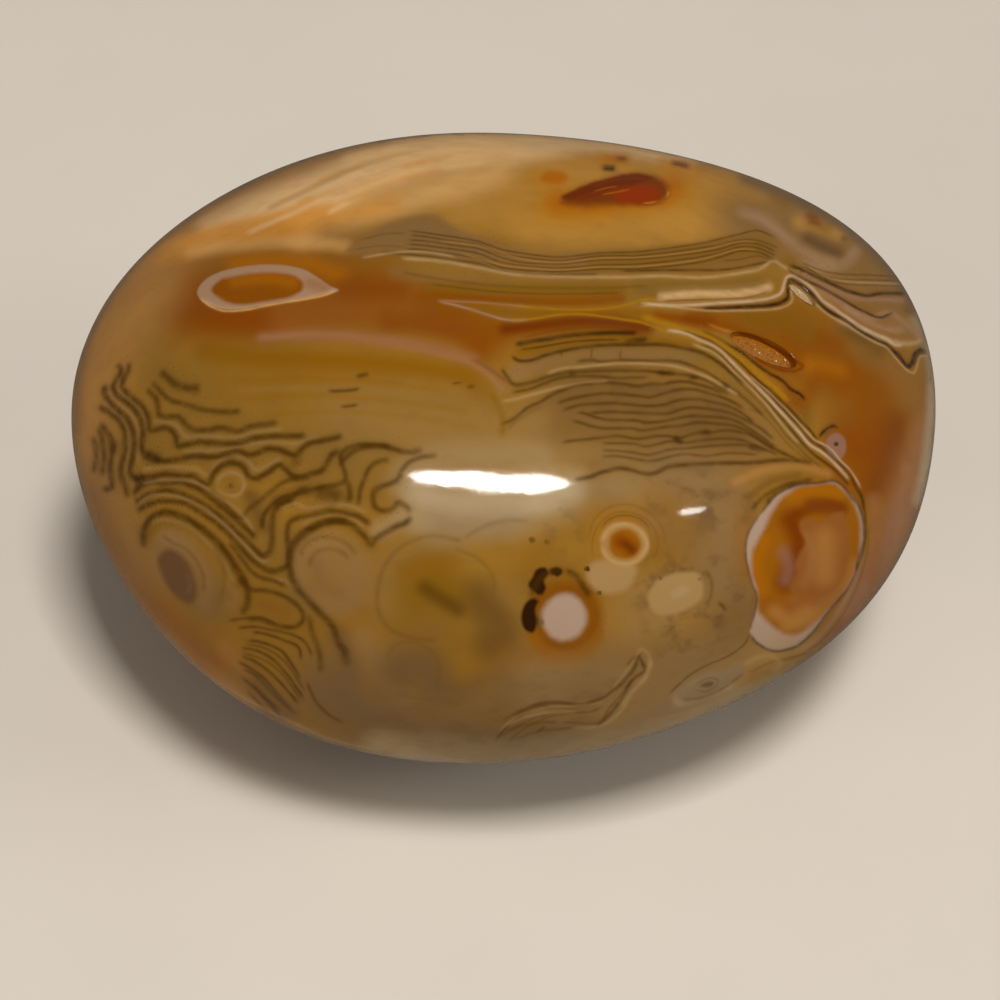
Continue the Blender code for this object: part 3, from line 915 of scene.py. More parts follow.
    ("shell", 1.9, 0.38, "800,652 822,634 838,612 851,588 860,562 863,540"),
    ("grey", 1.0, 0.5, "694,688 700,682 710,678 718,680 716,686 708,691 699,691 694,688"),
    ("umber", 1.3, 0.7, "717,601 722,606 727,612"),
    ("pale line", 3.0, 0.4, "742,666 758,657 772,656 780,664 770,674"),
    ("umber", 2.4, 0.65, "750,512 760,500 772,491 786,485 800,481 816,479"),
    ("umber", 1.4, 0.6, "858,488 863,502 865.5,520 865,540 861,558 855,574"),
    ("smoke", 3.6, 0.7, "823,440 825,432 831,427 838,427"),
    # by the small lilac eye
    ("dark umber", 1.6, 0.8, "818,440 822,433 828,428 834,426 840,429"),
    ("dark umber", 1.5, 0.8, "834,442 836,443 838,444"),
    # soft rings round the olive eye
    ("brown", 2.6, 0.4,
     "464,541 431,536 412,541 395,552 382,572 377,596 379,612 390,629 412,638 440,640"),
    ("brown", 2.0, 0.3, "452,548 480,560 494,580 492,600"),
    ("grey", 2.4, 0.35, "462,540 485,526 512,520 530,522"),
    ("brown", 2.2, 0.3, "386,660 394,646 410,642 430,650 440,668 436,690"),
    # arcs and dots round the white spot
    ("dark umber", 3.4, 0.65, "562,570 570,572 579,579 585,589 592,598"),
    ("umber", 3.6, 0.6, "531,600 533,590 541,578 552,571 566,570"),
    ("brown", 1.8, 0.6, "705,568 711,580 712,590 709,600 703,607"),
    ("brown", 1.4, 0.6, "716,606 721,603 728,611"),
    ("orange brown", 4.0, 0.8, "588,598 594,612 592,628 584,640"),
    # rings of the ring eye
    ("pale line", 2.2, 0.7,
     "602,544 606,533 613,526.5 624,524 635,527 643,534 647,544 643,554 635,561.5 625,564 612,561 "
     "605,554 602,544"),
    ("brown", 1.1, 0.35, "594,560 592,544 598,526 612,514 628,512 644,518 655,530 658,546 652,562"),
    ("brown", 1.1, 0.3, "588,540 594,520 610,507 632,505 650,513 663,530 666,548"),
    # thin arc over the ring eye
    ("brown", 1.0, 0.7, "600,530 607,521 618,516 632,516 643,521 651,530"),
    # streaks at the bottom
    ("umber", 2.4, 0.7,
     "643,652 638,656 634,668 622,682 613,691 605,698 595,701 583,705 560,703 540,704 525,710 "
     "512,716"),
    ("umber", 1.6, 0.7, "644,672 643,665 638,656 632,660 625,668"),
    ("brown", 1.3, 0.6, "505,732 520,725 530,720 540,716 560,712 590,712 603,706"),
    ("brown", 1.3, 0.6, "560,722 600,722 608,710 618,698 628,686 636,676"),
    ("brown", 1.2, 0.5, "680,700 700,698 720,690 735,680 745,672"),
    ("umber", 1.8, 0.6, "643,660 645,670 632,680 621,700 608,716 595,728"),
    ("pale line", 2.2, 0.5, "652,658 646,676 634,690 620,708"),
    ("brown", 1.6, 0.6, "500,722 515,714 532,708 555,708 580,709"),
    ("brown", 1.6, 0.6, "498,738 515,728 535,723 560,722"),
    ("brown", 1.5, 0.5, "515,740 535,732 560,729 590,727"),
    ("pale line", 1.3, 0.35, "504,727 520,719 545,713 580,711"),
    ("umber", 1.3, 0.55, "494,742 506,728 520,716 536,708 552,705"),
    ("brown", 1.2, 0.55, "508,742 522,730 536,722 552,716 572,714"),
    ("umber", 1.4, 0.5, "534,734 541,730 546,725"),
    ("pale line", 1.4, 0.28, "498,732 512,720 530,711 550,707 575,706 600,702 618,690"),
    ("pale line", 1.8, 0.32, "612,690 626,672 636,657 641,649 649,655 650,668"),
    ("pale line", 1.4, 0.4, "570,728 600,726 616,716 630,700"),
    # the dark spot near the top
    ("spot red", 1.1, 0.6, "572,199 590,194 612,190 632,184"),
    ("core", 1.0, 0.6, "590,187 610,181 630,178 650,179"),
    ("spot orange", 0.8, 0.7, "600,195 616,192 632,189"),
    ("spot orange", 0.7, 0.6, "592,192 606,188 620,186"),
    ("orange", 0.8, 0.6, "642,203.5 652,202.5 658,200.5"),
    ("orange", 0.8, 0.6, "669,190 668,194 666,197"),
    ("dark umber", 3.4, 0.95, "599,168 605,167.6 612,168.4 619,167.6"),
    ("core", 3.0, 0.8, "612,159 621,158.6 630,160"),
    ("spot orange", 3.2, 0.8, "602,159 610,158.6 620,159"),
    ("core", 3.2, 0.9, "668,163 678,164 692,167.6"),
    ("core", 3.4, 0.8, "803,214 812,217 820,222"),
    ("core", 2.2, 0.6, "806,221 816,223 824,226"),
    ("brown", 2.6, 0.6, "840,237 848,240"),
    ("shell", 4.0, 0.4, "740,212 760,218 780,232 800,248 820,258 840,262"),
)


def colour_property(name, red, green, blue):
    """A colour that a user can change."""
    return FloatVectorProperty(
        name=name,
        description=f"Colour of the {name.lower()}",
        subtype="COLOR_GAMMA",
        min=0.0,
        max=1.0,
        default=(red / 255, green / 255, blue / 255),
    )


def power_property(light, power, about):
    """The power of a studio light, as a user can change it."""
    return FloatProperty(
        name=f"{light} light power",
        description=f"Power of the {about}",
        default=power,
        min=0.0,
        unit="POWER",
    )


class AgateSettings(bpy.types.PropertyGroup):
    honey: colour_property("Honey Ground", 139, 99, 32)
    amber: colour_property("Amber Eye", 128, 70, 2)
    cream: colour_property("Cream Streaks", 220, 180, 128)
    umber: colour_property("Umber Lines", 68, 42, 4)
    mesh_cuts: IntProperty(
        name="Mesh cuts",
        description="Cuts along each edge of the cube that the pebble is pressed from",
        default=124,
        min=16,
        max=126,
    )
    front_detail: FloatProperty(
        name="Front detail",
        description="How far the mesh is drawn together on the side that is shown",
        default=0.35,
        min=0.0,
        max=0.6,
    )
    gloss: FloatProperty(
        name="Polish roughness",
        description="Roughness of the polished surface",
        default=0.07,
        min=0.0,
        max=1.0,
        subtype="FACTOR",
    )


class CrystalSettings(bpy.types.PropertyGroup):
    point_width: FloatProperty(
        name="Point width",
        description="Width of a quartz point at its foot",
        default=0.00026,
        unit="LENGTH",
        precision=5,
    )
    pocket_colour: colour_property("Pocket Quartz", 158, 96, 12)
    pit_colour: colour_property("Pit Quartz", 190, 162, 122)


class StageSettings(bpy.types.PropertyGroup):
    floor_colour: colour_property("Floor", 218, 210, 199)
    floor_size: FloatProperty(
        name="Floor size",
        description="Width of the studio floor",
        default=3.0,
        unit="LENGTH",
    )
    strip_power: power_property("Strip", 11.5, "strip light over the stone")
    side_power: power_property("Side", 0.46, "small light at the right, seen only in the polish")
    soft_power: power_property("Soft", 16.0, "large light above, which the polish doesn't mirror")
    right_power: power_property("Right", 3.6, "soft light at the right of the stone")
    left_power: power_property("Left", 5.0, "low soft light in front of the stone's left end")
    room_light: FloatProperty(
        name="Room light",
        description="Brightness of the light from all round",
        default=0.11,
        min=0.0,
    )


def linear(red, green, blue):
    """A colour given as red, green and blue from 0 to 255, as the linear light of a material."""
    share = np.array((red, green, blue)) / 255
    return np.where(share <= 0.04045, share / 12.92, ((share + 0.055) / 1.055) ** 2.4)


def tone(name):
    """A colour of the palette, as linear light."""
    return linear(*PALETTE[name])


def opaque(colour):
    return (*colour, 1.0)


def from_setting(colour):
    """A colour that a user can change, as red, green and blue from 0 to 255."""
    return tuple(255 * part for part in colour)


def smooth(share):
    share = np.clip(share, 0.0, 1.0)
    return share * share * (3.0 - 2.0 * share)


def direction(azimuth, elevation):
    flat = math.cos(elevation)
    return np.array((flat * math.cos(azimuth), flat * math.sin(azimuth), math.sin(elevation)))


def turned_to(way):
    """The turn that points something's Z axis along a direction."""
    return way.to_track_quat("Z", "Y").to_matrix().to_4x4()


def drawing_axes():
    """Where the drawing faces, its right and its up, and the point that it is aimed at."""
    towards = direction(VIEW_AZIMUTH - math.pi / 2, VIEW_ELEVATION)
    right = np.array((math.cos(VIEW_AZIMUTH), math.sin(VIEW_AZIMUTH), 0.0))
    up = np.cross(towards, right)
    aim = np.array((0.0, 0.0, HEIGHT / 2)) + right * AIM_RIGHT + up * AIM_UP
    return towards, right, up, aim


def on_drawing(points):
    """Places on the drawing for points in space."""
    towards, right, up, aim = drawing_axes()
    offset = points - aim
    distance = VIEW_DISTANCE - offset @ towards
    across = DRAWING_SIZE / 2 + DRAWING_REACH * (offset @ right) / distance
    down = DRAWING_SIZE / 2 - DRAWING_REACH * (offset @ up) / distance
    return np.stack((across, down), axis=1)


def pebble_points(ways):
    """The pebble's surface in each direction from its middle, at its real size."""
    power = 2 + FULLNESS
    points = ways / (np.abs(ways) ** power).sum(axis=1)[:, None] ** (1 / power)
    from_flat = np.arccos(np.clip(ways @ direction(FLAT_AZIMUTH, FLAT_ELEVATION), -1, 1))
    points *= 1 - FLAT_DEPTH * np.exp(-((from_flat / FLAT_SPREAD) ** 2))[:, None]
    x, y, z = points.T
    bent = np.stack(
        (
            x,
            y * (1 + BLUNT_END * x**3) + SKEW * x + SIDE_BEND * x**2,
            z * (1 + HIGH_END * x**3) + RISE * x**2,
        ),
        axis=1,
    )
    low, high = bent.min(axis=0), bent.max(axis=0)
    size = np.array((LENGTH, WIDTH, HEIGHT + REST_CUT))
    placed = (bent - (low + high) / 2) * size / (high - low)
    placed[:, 2] = np.maximum(placed[:, 2] + size[2] / 2 - REST_CUT, 0.0)
    return placed


def vertex_places(mesh):
    places = np.empty(len(mesh.vertices) * 3)
    mesh.vertices.foreach_get("co", places)
    return places.reshape(-1, 3)


def press_pebble(mesh, front_detail):
    """Presses a finely cut cube into the pebble, with its grid drawn together on the shown side."""
    ways = np.tan(vertex_places(mesh) * math.pi / 4)
    ways /= np.linalg.norm(ways, axis=1)[:, None]
    towards = drawing_axes()[0]
    angle = np.arccos(np.clip(ways @ towards, -1, 1))[:, None]
    aside = ways - np.cos(angle) * towards
    aside /= np.maximum(np.linalg.norm(aside, axis=1), TINY)[:, None]
    angle -= front_detail * np.sin(angle)
    ways = np.cos(angle) * towards + np.sin(angle) * aside
    mesh.vertices.foreach_set("co", pebble_points(ways).ravel())
    mesh.update()


def new_object(name, bm):
    """A shown object from a bmesh, which it frees."""
    mesh = bpy.data.meshes.new(name)
    bm.to_mesh(mesh)
    bm.free()
    made = bpy.data.objects.new(name, mesh)
    bpy.context.scene.collection.objects.link(made)
    return made


def hollow_frame(surface, hollow):
    """The hollow's own frame: on the stone's skin, X along the hollow and Z out of the stone."""
    above = Vector((hollow["x"], hollow["y"], 2 * HEIGHT))
    place, normal, _, _ = surface.ray_cast(above, Vector((0, 0, -1)))
    if place is None:
        raise RuntimeError("a hollow lies outside the stone")
    turn = math.radians(hollow["turn"])
    along = Vector((math.cos(turn), math.sin(turn), 0))
    across = normal.cross(along).normalized()
    along = across.cross(normal).normalized()
    return Matrix.Translation(place) @ Matrix((along, across, normal)).transposed().to_4x4()


def hollow_places():
    """The frames of both hollows on the solid model's skin, as the solid model has them."""
    bm = bmesh.new()
    bmesh.ops.create_icosphere(bm, subdivisions=SOLID_DETAIL, radius=1.0)
    mesh = bpy.data.meshes.new("skin")
    bm.to_mesh(mesh)
    bm.free()
    ways = vertex_places(mesh)
    ways /= np.linalg.norm(ways, axis=1)[:, None]
    mesh.vertices.foreach_set("co", pebble_points(ways).ravel())
    skin = bmesh.new()
    skin.from_mesh(mesh)
    surface = BVHTree.FromBMesh(skin)
    skin.free()
    bpy.data.meshes.remove(mesh)
    return [hollow_frame(surface, hollow) for hollow in (POCKET, PIT)]


def cut_hollow(stone, hollow, placing):
    bm = bmesh.new()
    bmesh.ops.create_uvsphere(bm, u_segments=CUTTER_SEGMENTS, v_segments=CUTTER_RINGS, radius=1.0)
    size = (hollow["length"] / 2, hollow["width"] / 2, hollow["depth"])
    bmesh.ops.scale(bm, vec=size, verts=bm.verts)
    bmesh.ops.transform(bm, matrix=placing, verts=bm.verts)
    cutter = new_object("cutter", bm)
    cut = stone.modifiers.new("hollow", "BOOLEAN")
    cut.operation = "DIFFERENCE"
    cut.object = cutter
    bpy.context.view_layer.update()
    whole = stone.evaluated_get(bpy.context.evaluated_depsgraph_get())
    carved = bpy.data.meshes.new_from_object(whole)
    stone.modifiers.clear()
    old = stone.data
    stone.data = carved
    bpy.data.meshes.remove(old)
    bpy.data.objects.remove(cutter)


def curve_through(text, step=OUTLINE_STEP):
    """Evenly stepped points of a smooth curve through the places in a path."""
    points = np.array([[float(part) for part in place.split(",")] for place in text.split()])
    if len(points) < 3:
        count = max(2, int(np.linalg.norm(points[-1] - points[0]) / step) + 1)
        return points[0] + (points[-1] - points[0]) * np.linspace(0, 1, count)[:, None]
    moves = np.diff(points, axis=0)
    spans = np.linalg.norm(moves, axis=1) ** 0.5
    slopes = moves / spans[:, None]
    weights = spans[:, None]
    tangents = np.empty_like(points)
    inner = slopes[:-1] * weights[1:] + slopes[1:] * weights[:-1]
    tangents[1:-1] = inner / (weights[:-1] + weights[1:])
    tangents[0], tangents[-1] = slopes[0], slopes[-1]
    if np.allclose(points[0], points[-1]):
        around = slopes[-1] * weights[0] + slopes[0] * weights[-1]
        tangents[0] = tangents[-1] = around / (weights[0] + weights[-1])
    made = []
    for index, span in enumerate(spans):
        length = np.linalg.norm(moves[index])
        share = np.linspace(0, 1, max(2, int(length / step) + 1), endpoint=False)[:, None]
        one = (1 + 2 * share) * (1 - share) ** 2 * points[index]
        two = share * (1 - share) ** 2 * span * tangents[index]
        three = share**2 * (3 - 2 * share) * points[index + 1]
        four = share**2 * (share - 1) * span * tangents[index + 1]
        made.append(one + two + three + four)
    made.append(points[-1:])
    return np.concatenate(made)


def beside(places, curve, reach):
    """The places near a curve: their numbers, signed distances, and how far along the curve."""
    inside = (places > curve.min(axis=0) - reach) & (places < curve.max(axis=0) + reach)
    near = np.flatnonzero(inside.all(axis=1))
    spots = places[near]
    best = np.full(len(near), np.inf)
    signed = np.zeros(len(near))
    along = np.zeros(len(near))
    walked = 0.0
    for start, end in zip(curve[:-1], curve[1:]):
        step = end - start
        length = math.hypot(*step)
        if length < TINY:
            continue
        offset = spots - start
        share = np.clip(offset @ step / length**2, 0.0, 1.0)
        gap = offset - share[:, None] * step
        distance = np.hypot(gap[:, 0], gap[:, 1])
        closer = distance < best
        side = step[0] * offset[:, 1] - step[1] * offset[:, 0]
        best = np.where(closer, distance, best)
        signed = np.where(closer, np.copysign(distance, side), signed)
        along = np.where(closer, walked + share * length, along)
        walked += length
    return near, signed, along, walked


def inside_outline(spots, outline):
    """Which spots a closed outline goes round."""
    within = np.zeros(len(spots), dtype=bool)
    for start, end in zip(outline[:-1], outline[1:]):
        if start[1] == end[1]:
            continue
        level = (spots[:, 1] < start[1]) != (spots[:, 1] < end[1])
        cross = start[0] + (spots[:, 1] - start[1]) * (end[0] - start[0]) / (end[1] - start[1])
        within ^= level & (spots[:, 0] < cross)
    return within


def brush(places, path, radius, strength):
    """The places that a soft stroke reaches, and how strongly it covers each of them."""
    near, signed, _, _ = beside(places, curve_through(path, STROKE_STEP), radius)
    return near, strength * smooth(1.0 - np.abs(signed) / radius)


def tint(colours, near, name, share):
    """Moves some of the colours towards one of the palette's."""
    colours[near] += (tone(name) - colours[near]) * share[:, None]


def from_centre(points, centre):
    """How far points are from an eye's centre on the far side, in millimetres."""
    return np.linalg.norm((points * MILLIMETRES - centre) * FAR_STRETCH, axis=1)


def paint_ground(places, points, veil):
    colours = np.tile(tone("honey"), (len(places), 1))
    for colour, radius, strength, path in GROUND:
        near, share = brush(places, path, radius, strength)
        tint(colours, near, colour, share)
    for colour, radius, strength, centre in FAR_GROUND:
        away = np.linalg.norm(points * MILLIMETRES - centre, axis=1)
        tint(colours, slice(None), colour, veil * strength * smooth(1.0 - away / radius))
    return colours


def paint_flecks(places, veil):
    """How strongly the smoky flecks show."""
    shares = FLECKS_EVERYWHERE + FLECKS_FAR * veil
    for radius, strength, path in FLECKS:
        near, share = brush(places, path, radius, strength)
        shares[near] = np.maximum(shares[near], share)
    return shares


def far_bands(points, veil):
    """Level of the bands on the far side, a line halfway between whole numbers, and their ink."""
    x, y, z = (points * MILLIMETRES).T
    level = 0.62 * z + 0.16 * x
    level = level + 1.8 * np.sin(0.17 * x + 0.13 * y) + 1.1 * np.sin(0.31 * z - 0.17 * y + 1.0)
    ink = np.full(len(z), FAR_BANDS_INK)
    for centre, radius, rings in FAR_RINGS:
        away = from_centre(points, centre)
        share = smooth((radius - away) / (FAR_RINGS_FADE * radius))
        level += (rings * away - level) * share
        ink = np.maximum(ink, FAR_RINGS_INK * share)
    return level, veil * ink


def patch_outlines(layer):
    """The colour, edge softness and closed outline of each patch and dot in a layer."""
    for wanted, colour, softness, path in PATCHES:
        if wanted == layer:
            yield colour, softness, curve_through(path)
    turns = np.linspace(0, 2 * math.pi, DOT_CORNERS + 1)
    ring = np.stack((np.cos(turns), np.sin(turns)), axis=1)
    for wanted, colour, softness, radius, place in DOTS:
        if wanted == layer:
            yield colour, softness, np.array(place) + radius * ring


def paint_patches(places, points, veil, layer):
    """Colour of the nearest patch in a layer, and how far inside it a place is, in edge widths."""
    colours = np.tile(tone("honey"), (len(places), 1))
    inside = np.full(len(places), -LINE_RANGE)
    for colour, softness, outline in patch_outlines(layer):
        near, signed, _, _ = beside(places, outline, softness * LINE_RANGE)
        within = inside_outline(places[near], outline)
        depth = np.where(within, np.abs(signed), -np.abs(signed)) / softness
        depth = np.clip(depth, -LINE_RANGE, LINE_RANGE)
        more = depth > inside[near]
        inside[near[more]] = depth[more]
        colours[near[more]] = tone(colour)
    for wanted, colour, radius, strength, path in SHADES:
        if wanted == layer:
            near, share = brush(places, path, radius, strength)
            tint(colours, near, colour, share)
    inside = np.maximum(inside - 2 * LINE_RANGE * veil, -LINE_RANGE)
    for wanted, colour, softness, radius, centre in FAR_EYES:
        if wanted == layer:
            depth = (radius - from_centre(points, centre)) / softness
            depth = np.clip(depth, -LINE_RANGE, LINE_RANGE) - 2 * LINE_RANGE * (1 - veil)
            more = depth > inside
            inside[more] = depth[more]
            colours[more] = tone(colour)
    return colours, inside


def gap_between(curve, other):
    """How far apart two lines are, or infinity if they are clearly further apart than LINE_GAP."""
    low, high = curve.min(axis=0), curve.max(axis=0)
    apart = np.maximum(low - other.max(axis=0), other.min(axis=0) - high)
    if apart.max() >= LINE_GAP:
        return np.inf
    return np.linalg.norm(curve[:, None] - other[None, ::2], axis=2).min()


def sort_lines():
    """Shares the lines out over the layers so that lines in one layer keep apart."""
    layers = [[] for _ in range(LINE_LAYERS)]
    for colour, half_width, strength, path in LINES:
        curve = curve_through(path)
        room = [
            min((gap_between(curve, line[-1]) for line in layer), default=np.inf)
            for layer in layers
        ]
        free = [index for index, gap in enumerate(room) if gap > LINE_GAP]
        best = free[0] if free else int(np.argmax(room))
        layers[best].append((colour, half_width, strength, curve))
    return layers


def draw_lines(places, lines, edges):
    """Colour of the nearest line, its signed distance in half widths, and its strength."""
    colours = np.tile(tone("umber"), (len(places), 1))
    gaps = np.full(len(places), LINE_REACH)
    widths = np.ones(len(places))
    ink = np.zeros(len(places))
    for colour, half_width, strength, curve in lines:
        near, signed, along, length = beside(places, curve, LINE_REACH)
        closer = np.abs(signed) < np.abs(gaps[near])
        near, signed, along = near[closer], signed[closer], along[closer]
        gaps[near] = signed
        widths[near] = half_width
        taper = min(LINE_TAPER, length / 3)
        ink[near] = strength * smooth(along / taper) * smooth((length - along) / taper)
        colours[near] = tone(colour)
    # Where the side changes between two lines, or past a line's end, nothing is drawn
    first, second = edges.T
    step = np.linalg.norm(places[first] - places[second], axis=1)
    jump = np.abs(gaps[first] - gaps[second]) > JUMP_SHARE * step + JUMP_SLACK
    ink[first[jump]] = 0.0
    ink[second[jump]] = 0.0
    return colours, np.clip(gaps / widths, -LINE_RANGE, LINE_RANGE), ink


def store_colours(mesh, name, colours, alpha):
    data = mesh.attributes.new(name, "FLOAT_COLOR", "POINT").data
    data.foreach_set("color", np.column_stack((colours, alpha)).ravel())


def store_depths(mesh, name, colours, depth):
    """Stores colours with a depth or distance from -LINE_RANGE to LINE_RANGE as their alpha."""
    store_colours(mesh, name, colours, 0.5 + depth / (2 * LINE_RANGE))


def store_values(mesh, name, values):
    mesh.attributes.new(name, "FLOAT", "POINT").data.foreach_set("value", values)


def lay_markings(mesh):
    points = vertex_places(mesh)
    places = on_drawing(points)
    normals = np.empty(points.size)
    mesh.vertex_normals.foreach_get("vector", normals)
    towards, _, _, aim = drawing_axes()
    sight = aim + towards * VIEW_DISTANCE - points
    sight /= np.linalg.norm(sight, axis=1)[:, None]
    facing = (normals.reshape(-1, 3) * sight).sum(axis=1)
    veil, ground_veil = (
        smooth((start - facing) / (start - stop)) for start, stop in (MARK_VEIL, GROUND_VEIL)
    )
    edges = np.empty(2 * len(mesh.edges), dtype=np.int32)
    mesh.edges.foreach_get("vertices", edges)

    store_colours(mesh, "ground", paint_ground(places, points, ground_veil), np.ones(len(places)))
    store_values(mesh, "flecks", paint_flecks(places, veil))
    level, ink = far_bands(points, veil)
    store_values(mesh, "bands", level)
    store_values(mesh, "bands_ink", ink)
    for layer in range(FILL_LAYERS):
        store_depths(mesh, f"patch_{layer}", *paint_patches(places, points, veil, layer))
    for layer, lines in enumerate(sort_lines()):
        colours, offset, ink = draw_lines(places, lines, edges.reshape(-1, 2))
        store_depths(mesh, f"line_{layer}", colours, offset)
        store_values(mesh, f"line_{layer}_ink", ink * (1 - veil))


class Graph:
    """Builds a material's nodes with short calls."""

    def __init__(self, name):
        self.material = bpy.data.materials.new(name)
        self.material.use_nodes = True
        self.nodes = self.material.node_tree.nodes
        self.links = self.material.node_tree.links
        self.shader = self.nodes["Principled BSDF"]

    def feed(self, socket, value):
        if isinstance(value, bpy.types.NodeSocket):
            self.links.new(value, socket)
        else:
            socket.default_value = value

    def attribute(self, name):
        node = self.nodes.new("ShaderNodeAttribute")
        node.attribute_name = name
        return node.outputs

    def math(self, operation, *values):
        node = self.nodes.new("ShaderNodeMath")
        node.operation = operation
        for socket, value in zip(node.inputs, values):
            self.feed(socket, value)
        return node.outputs[0]

    def plus(self, one, two):
        return self.math("ADD", one, two)

    def minus(self, one, two):
        return self.math("SUBTRACT", one, two)

    def times(self, one, two):
        return self.math("MULTIPLY", one, two)

    def step(self, value, low, high):
        """0 below low, 1 above high and smooth between them."""
        node = self.nodes.new("ShaderNodeMapRange")
        node.interpolation_type = "SMOOTHSTEP"
        self.feed(node.inputs["Value"], value)
        node.inputs["From Min"].default_value = low
        node.inputs["From Max"].default_value = high
        return node.outputs["Result"]

    def mix(self, share, one, two):
        node = self.nodes.new("ShaderNodeMix")
        node.data_type = "RGBA"
        self.feed(node.inputs["Factor"], share)
        self.feed(node.inputs["A"], one)
        self.feed(node.inputs["B"], two)
        return node.outputs["Result"]

    def noise(self, scale, detail=2.0, stretch=(1.0, 1.0, 1.0)):
        """Noise in the stone's own space. The scale is in cycles for each metre."""
        place = self.nodes.new("ShaderNodeTexCoord").outputs["Object"]
        mapping = self.nodes.new("ShaderNodeMapping")
        mapping.inputs["Scale"].default_value = stretch
        self.links.new(place, mapping.inputs["Vector"])
        node = self.nodes.new("ShaderNodeTexNoise")
        node.inputs["Scale"].default_value = scale
        node.inputs["Detail"].default_value = detail
        self.links.new(mapping.outputs["Vector"], node.inputs["Vector"])
        return node.outputs["Fac"]

    def bump(self, height, strength, distance):
        node = self.nodes.new("ShaderNodeBump")
        node.inputs["Strength"].default_value = strength
        node.inputs["Distance"].default_value = distance
        self.links.new(height, node.inputs["Height"])
        self.links.new(node.outputs["Normal"], self.shader.inputs["Normal"])


def add_far_bands(graph, colour, waver):
    """Draws the thin lines of the far side, broken where a coarse noise is low."""
    level = graph.plus(graph.attribute("bands")["Fac"], graph.times(waver, FAR_BANDS_WAVER))
    away = graph.math("ABSOLUTE", graph.minus(graph.math("FRACT", level), 0.5))
    cover = graph.minus(1.0, graph.step(away, *FAR_BANDS_EDGE))
    breaks = graph.step(graph.noise(140.0, 2.0, GRAIN_STRETCH), *FAR_BANDS_BREAKS)
    cover = graph.times(cover, breaks)
    share = graph.times(cover, graph.attribute("bands_ink")["Fac"])
    return graph.mix(share, colour, opaque(tone("umber")))


def add_patches(graph, colour, waver):
    for layer in range(FILL_LAYERS):
        patch = graph.attribute(f"patch_{layer}")
        depth = graph.plus(patch["Alpha"], graph.times(waver, PATCH_WAVER))
        colour = graph.mix(graph.step(depth, *PATCH_EDGE), colour, patch["Color"])
    return colour


def add_lines(graph, colour, waver):
    """Draws the lines, each with a solid core and a fainter soft edge, and a little grain."""
    grain = graph.step(graph.noise(1500.0, 3.0, GRAIN_STRETCH), 0.34, 0.6)
    grain = graph.plus(1.0 - LINE_GRAIN, graph.times(grain, LINE_GRAIN))
    for layer in range(LINE_LAYERS):
        line = graph.attribute(f"line_{layer}")
        offset = graph.plus(graph.minus(line["Alpha"], 0.5), graph.times(waver, LINE_WAVER))
        away = graph.math("ABSOLUTE", offset)
        core = graph.minus(1.0, graph.step(away, *LINE_CORE))
        edge = graph.times(LINE_EDGE_INK, graph.minus(1.0, graph.step(away, *LINE_EDGE)))
        cover = graph.times(grain, graph.math("MAXIMUM", core, edge))
        share = graph.times(cover, graph.attribute(f"line_{layer}_ink")["Fac"])
        colour = graph.mix(share, colour, line["Color"])
    return colour


def polished_agate(gloss):
    graph = Graph("polished_agate")
    colour = graph.attribute("ground")["Color"]
    clouds = graph.step(graph.noise(300.0, 5.0, GRAIN_STRETCH), 0.3, 0.7)
    colour = graph.mix(graph.times(clouds, CLOUD_INK), colour, opaque(tone("brown")))
    specks = graph.step(graph.noise(900.0, 4.0, (0.7, 1.0, 1.0)), 0.45, 0.68)
    flecks = graph.times(graph.attribute("flecks")["Fac"], FLECK_INK)
    colour = graph.mix(graph.times(specks, flecks), colour, opaque(tone("smoke")))
    fine, coarse = (graph.minus(graph.noise(scale), 0.5) for scale in (2600.0, 1000.0))
    waver = graph.plus(graph.times(coarse, 1.6), fine)
    for add in (add_far_bands, add_patches, add_lines):
        colour = add(graph, colour, waver)
    graph.feed(graph.shader.inputs["Base Color"], colour)
    graph.shader.inputs["Roughness"].default_value = gloss
    graph.shader.inputs["IOR"].default_value = AGATE_IOR
    graph.shader.inputs["Specular IOR Level"].default_value = 0.25
    ripple = graph.plus(graph.noise(260.0, 1.0), graph.times(graph.noise(1500.0), 0.1))
    graph.bump(ripple, 0.12, RIPPLE_HEIGHT)
    return graph.material


def quartz_crystals(name, colour):
    graph = Graph(name)
    # bright glints painted into the quartz's colour by a noise: painted highlights
    painted_glints = graph.step(graph.noise(3600.0, 1.0), 0.68, 0.74)
    plain, bright = (opaque(linear(*shade)) for shade in (from_setting(colour), PAINTED_GLINT))
    glint_painted_colour = graph.mix(painted_glints, plain, bright)
    graph.feed(graph.shader.inputs["Base Color"], glint_painted_colour)
    graph.shader.inputs["Roughness"].default_value = 0.08
    graph.shader.inputs["IOR"].default_value = QUARTZ_IOR
    graph.shader.inputs["Transmission Weight"].default_value = 0.2
    return graph.material


class PALMSTONE_OT_stone(bpy.types.Operator):
    """Builds the polished pebble with its hollows and its lace markings"""

    bl_idname = "palmstone.stone"
    bl_label = "Polished Stone"

    def execute(self, context):
        settings = context.scene.agate_settings
        bm = bmesh.new()
        bmesh.ops.create_cube(bm, size=2.0)
        bmesh.ops.subdivide_edges(bm, edges=bm.edges, cuts=settings.mesh_cuts, use_grid_fill=True)
        stone = new_object("polished_stone", bm)
        press_pebble(stone.data, settings.front_detail)
        for hollow, placing in zip((POCKET, PIT), hollow_places()):
            cut_hollow(stone, hollow, placing)
        for name in ("honey", "amber", "cream", "umber"):
            PALETTE[name] = from_setting(getattr(settings, name))
        lay_markings(stone.data)
        stone.data.shade_smooth()
        stone.data.materials.clear()
        stone.data.materials.append(polished_agate(settings.gloss))
        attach(stone, "root")
        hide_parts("stone")
        return {"FINISHED"}


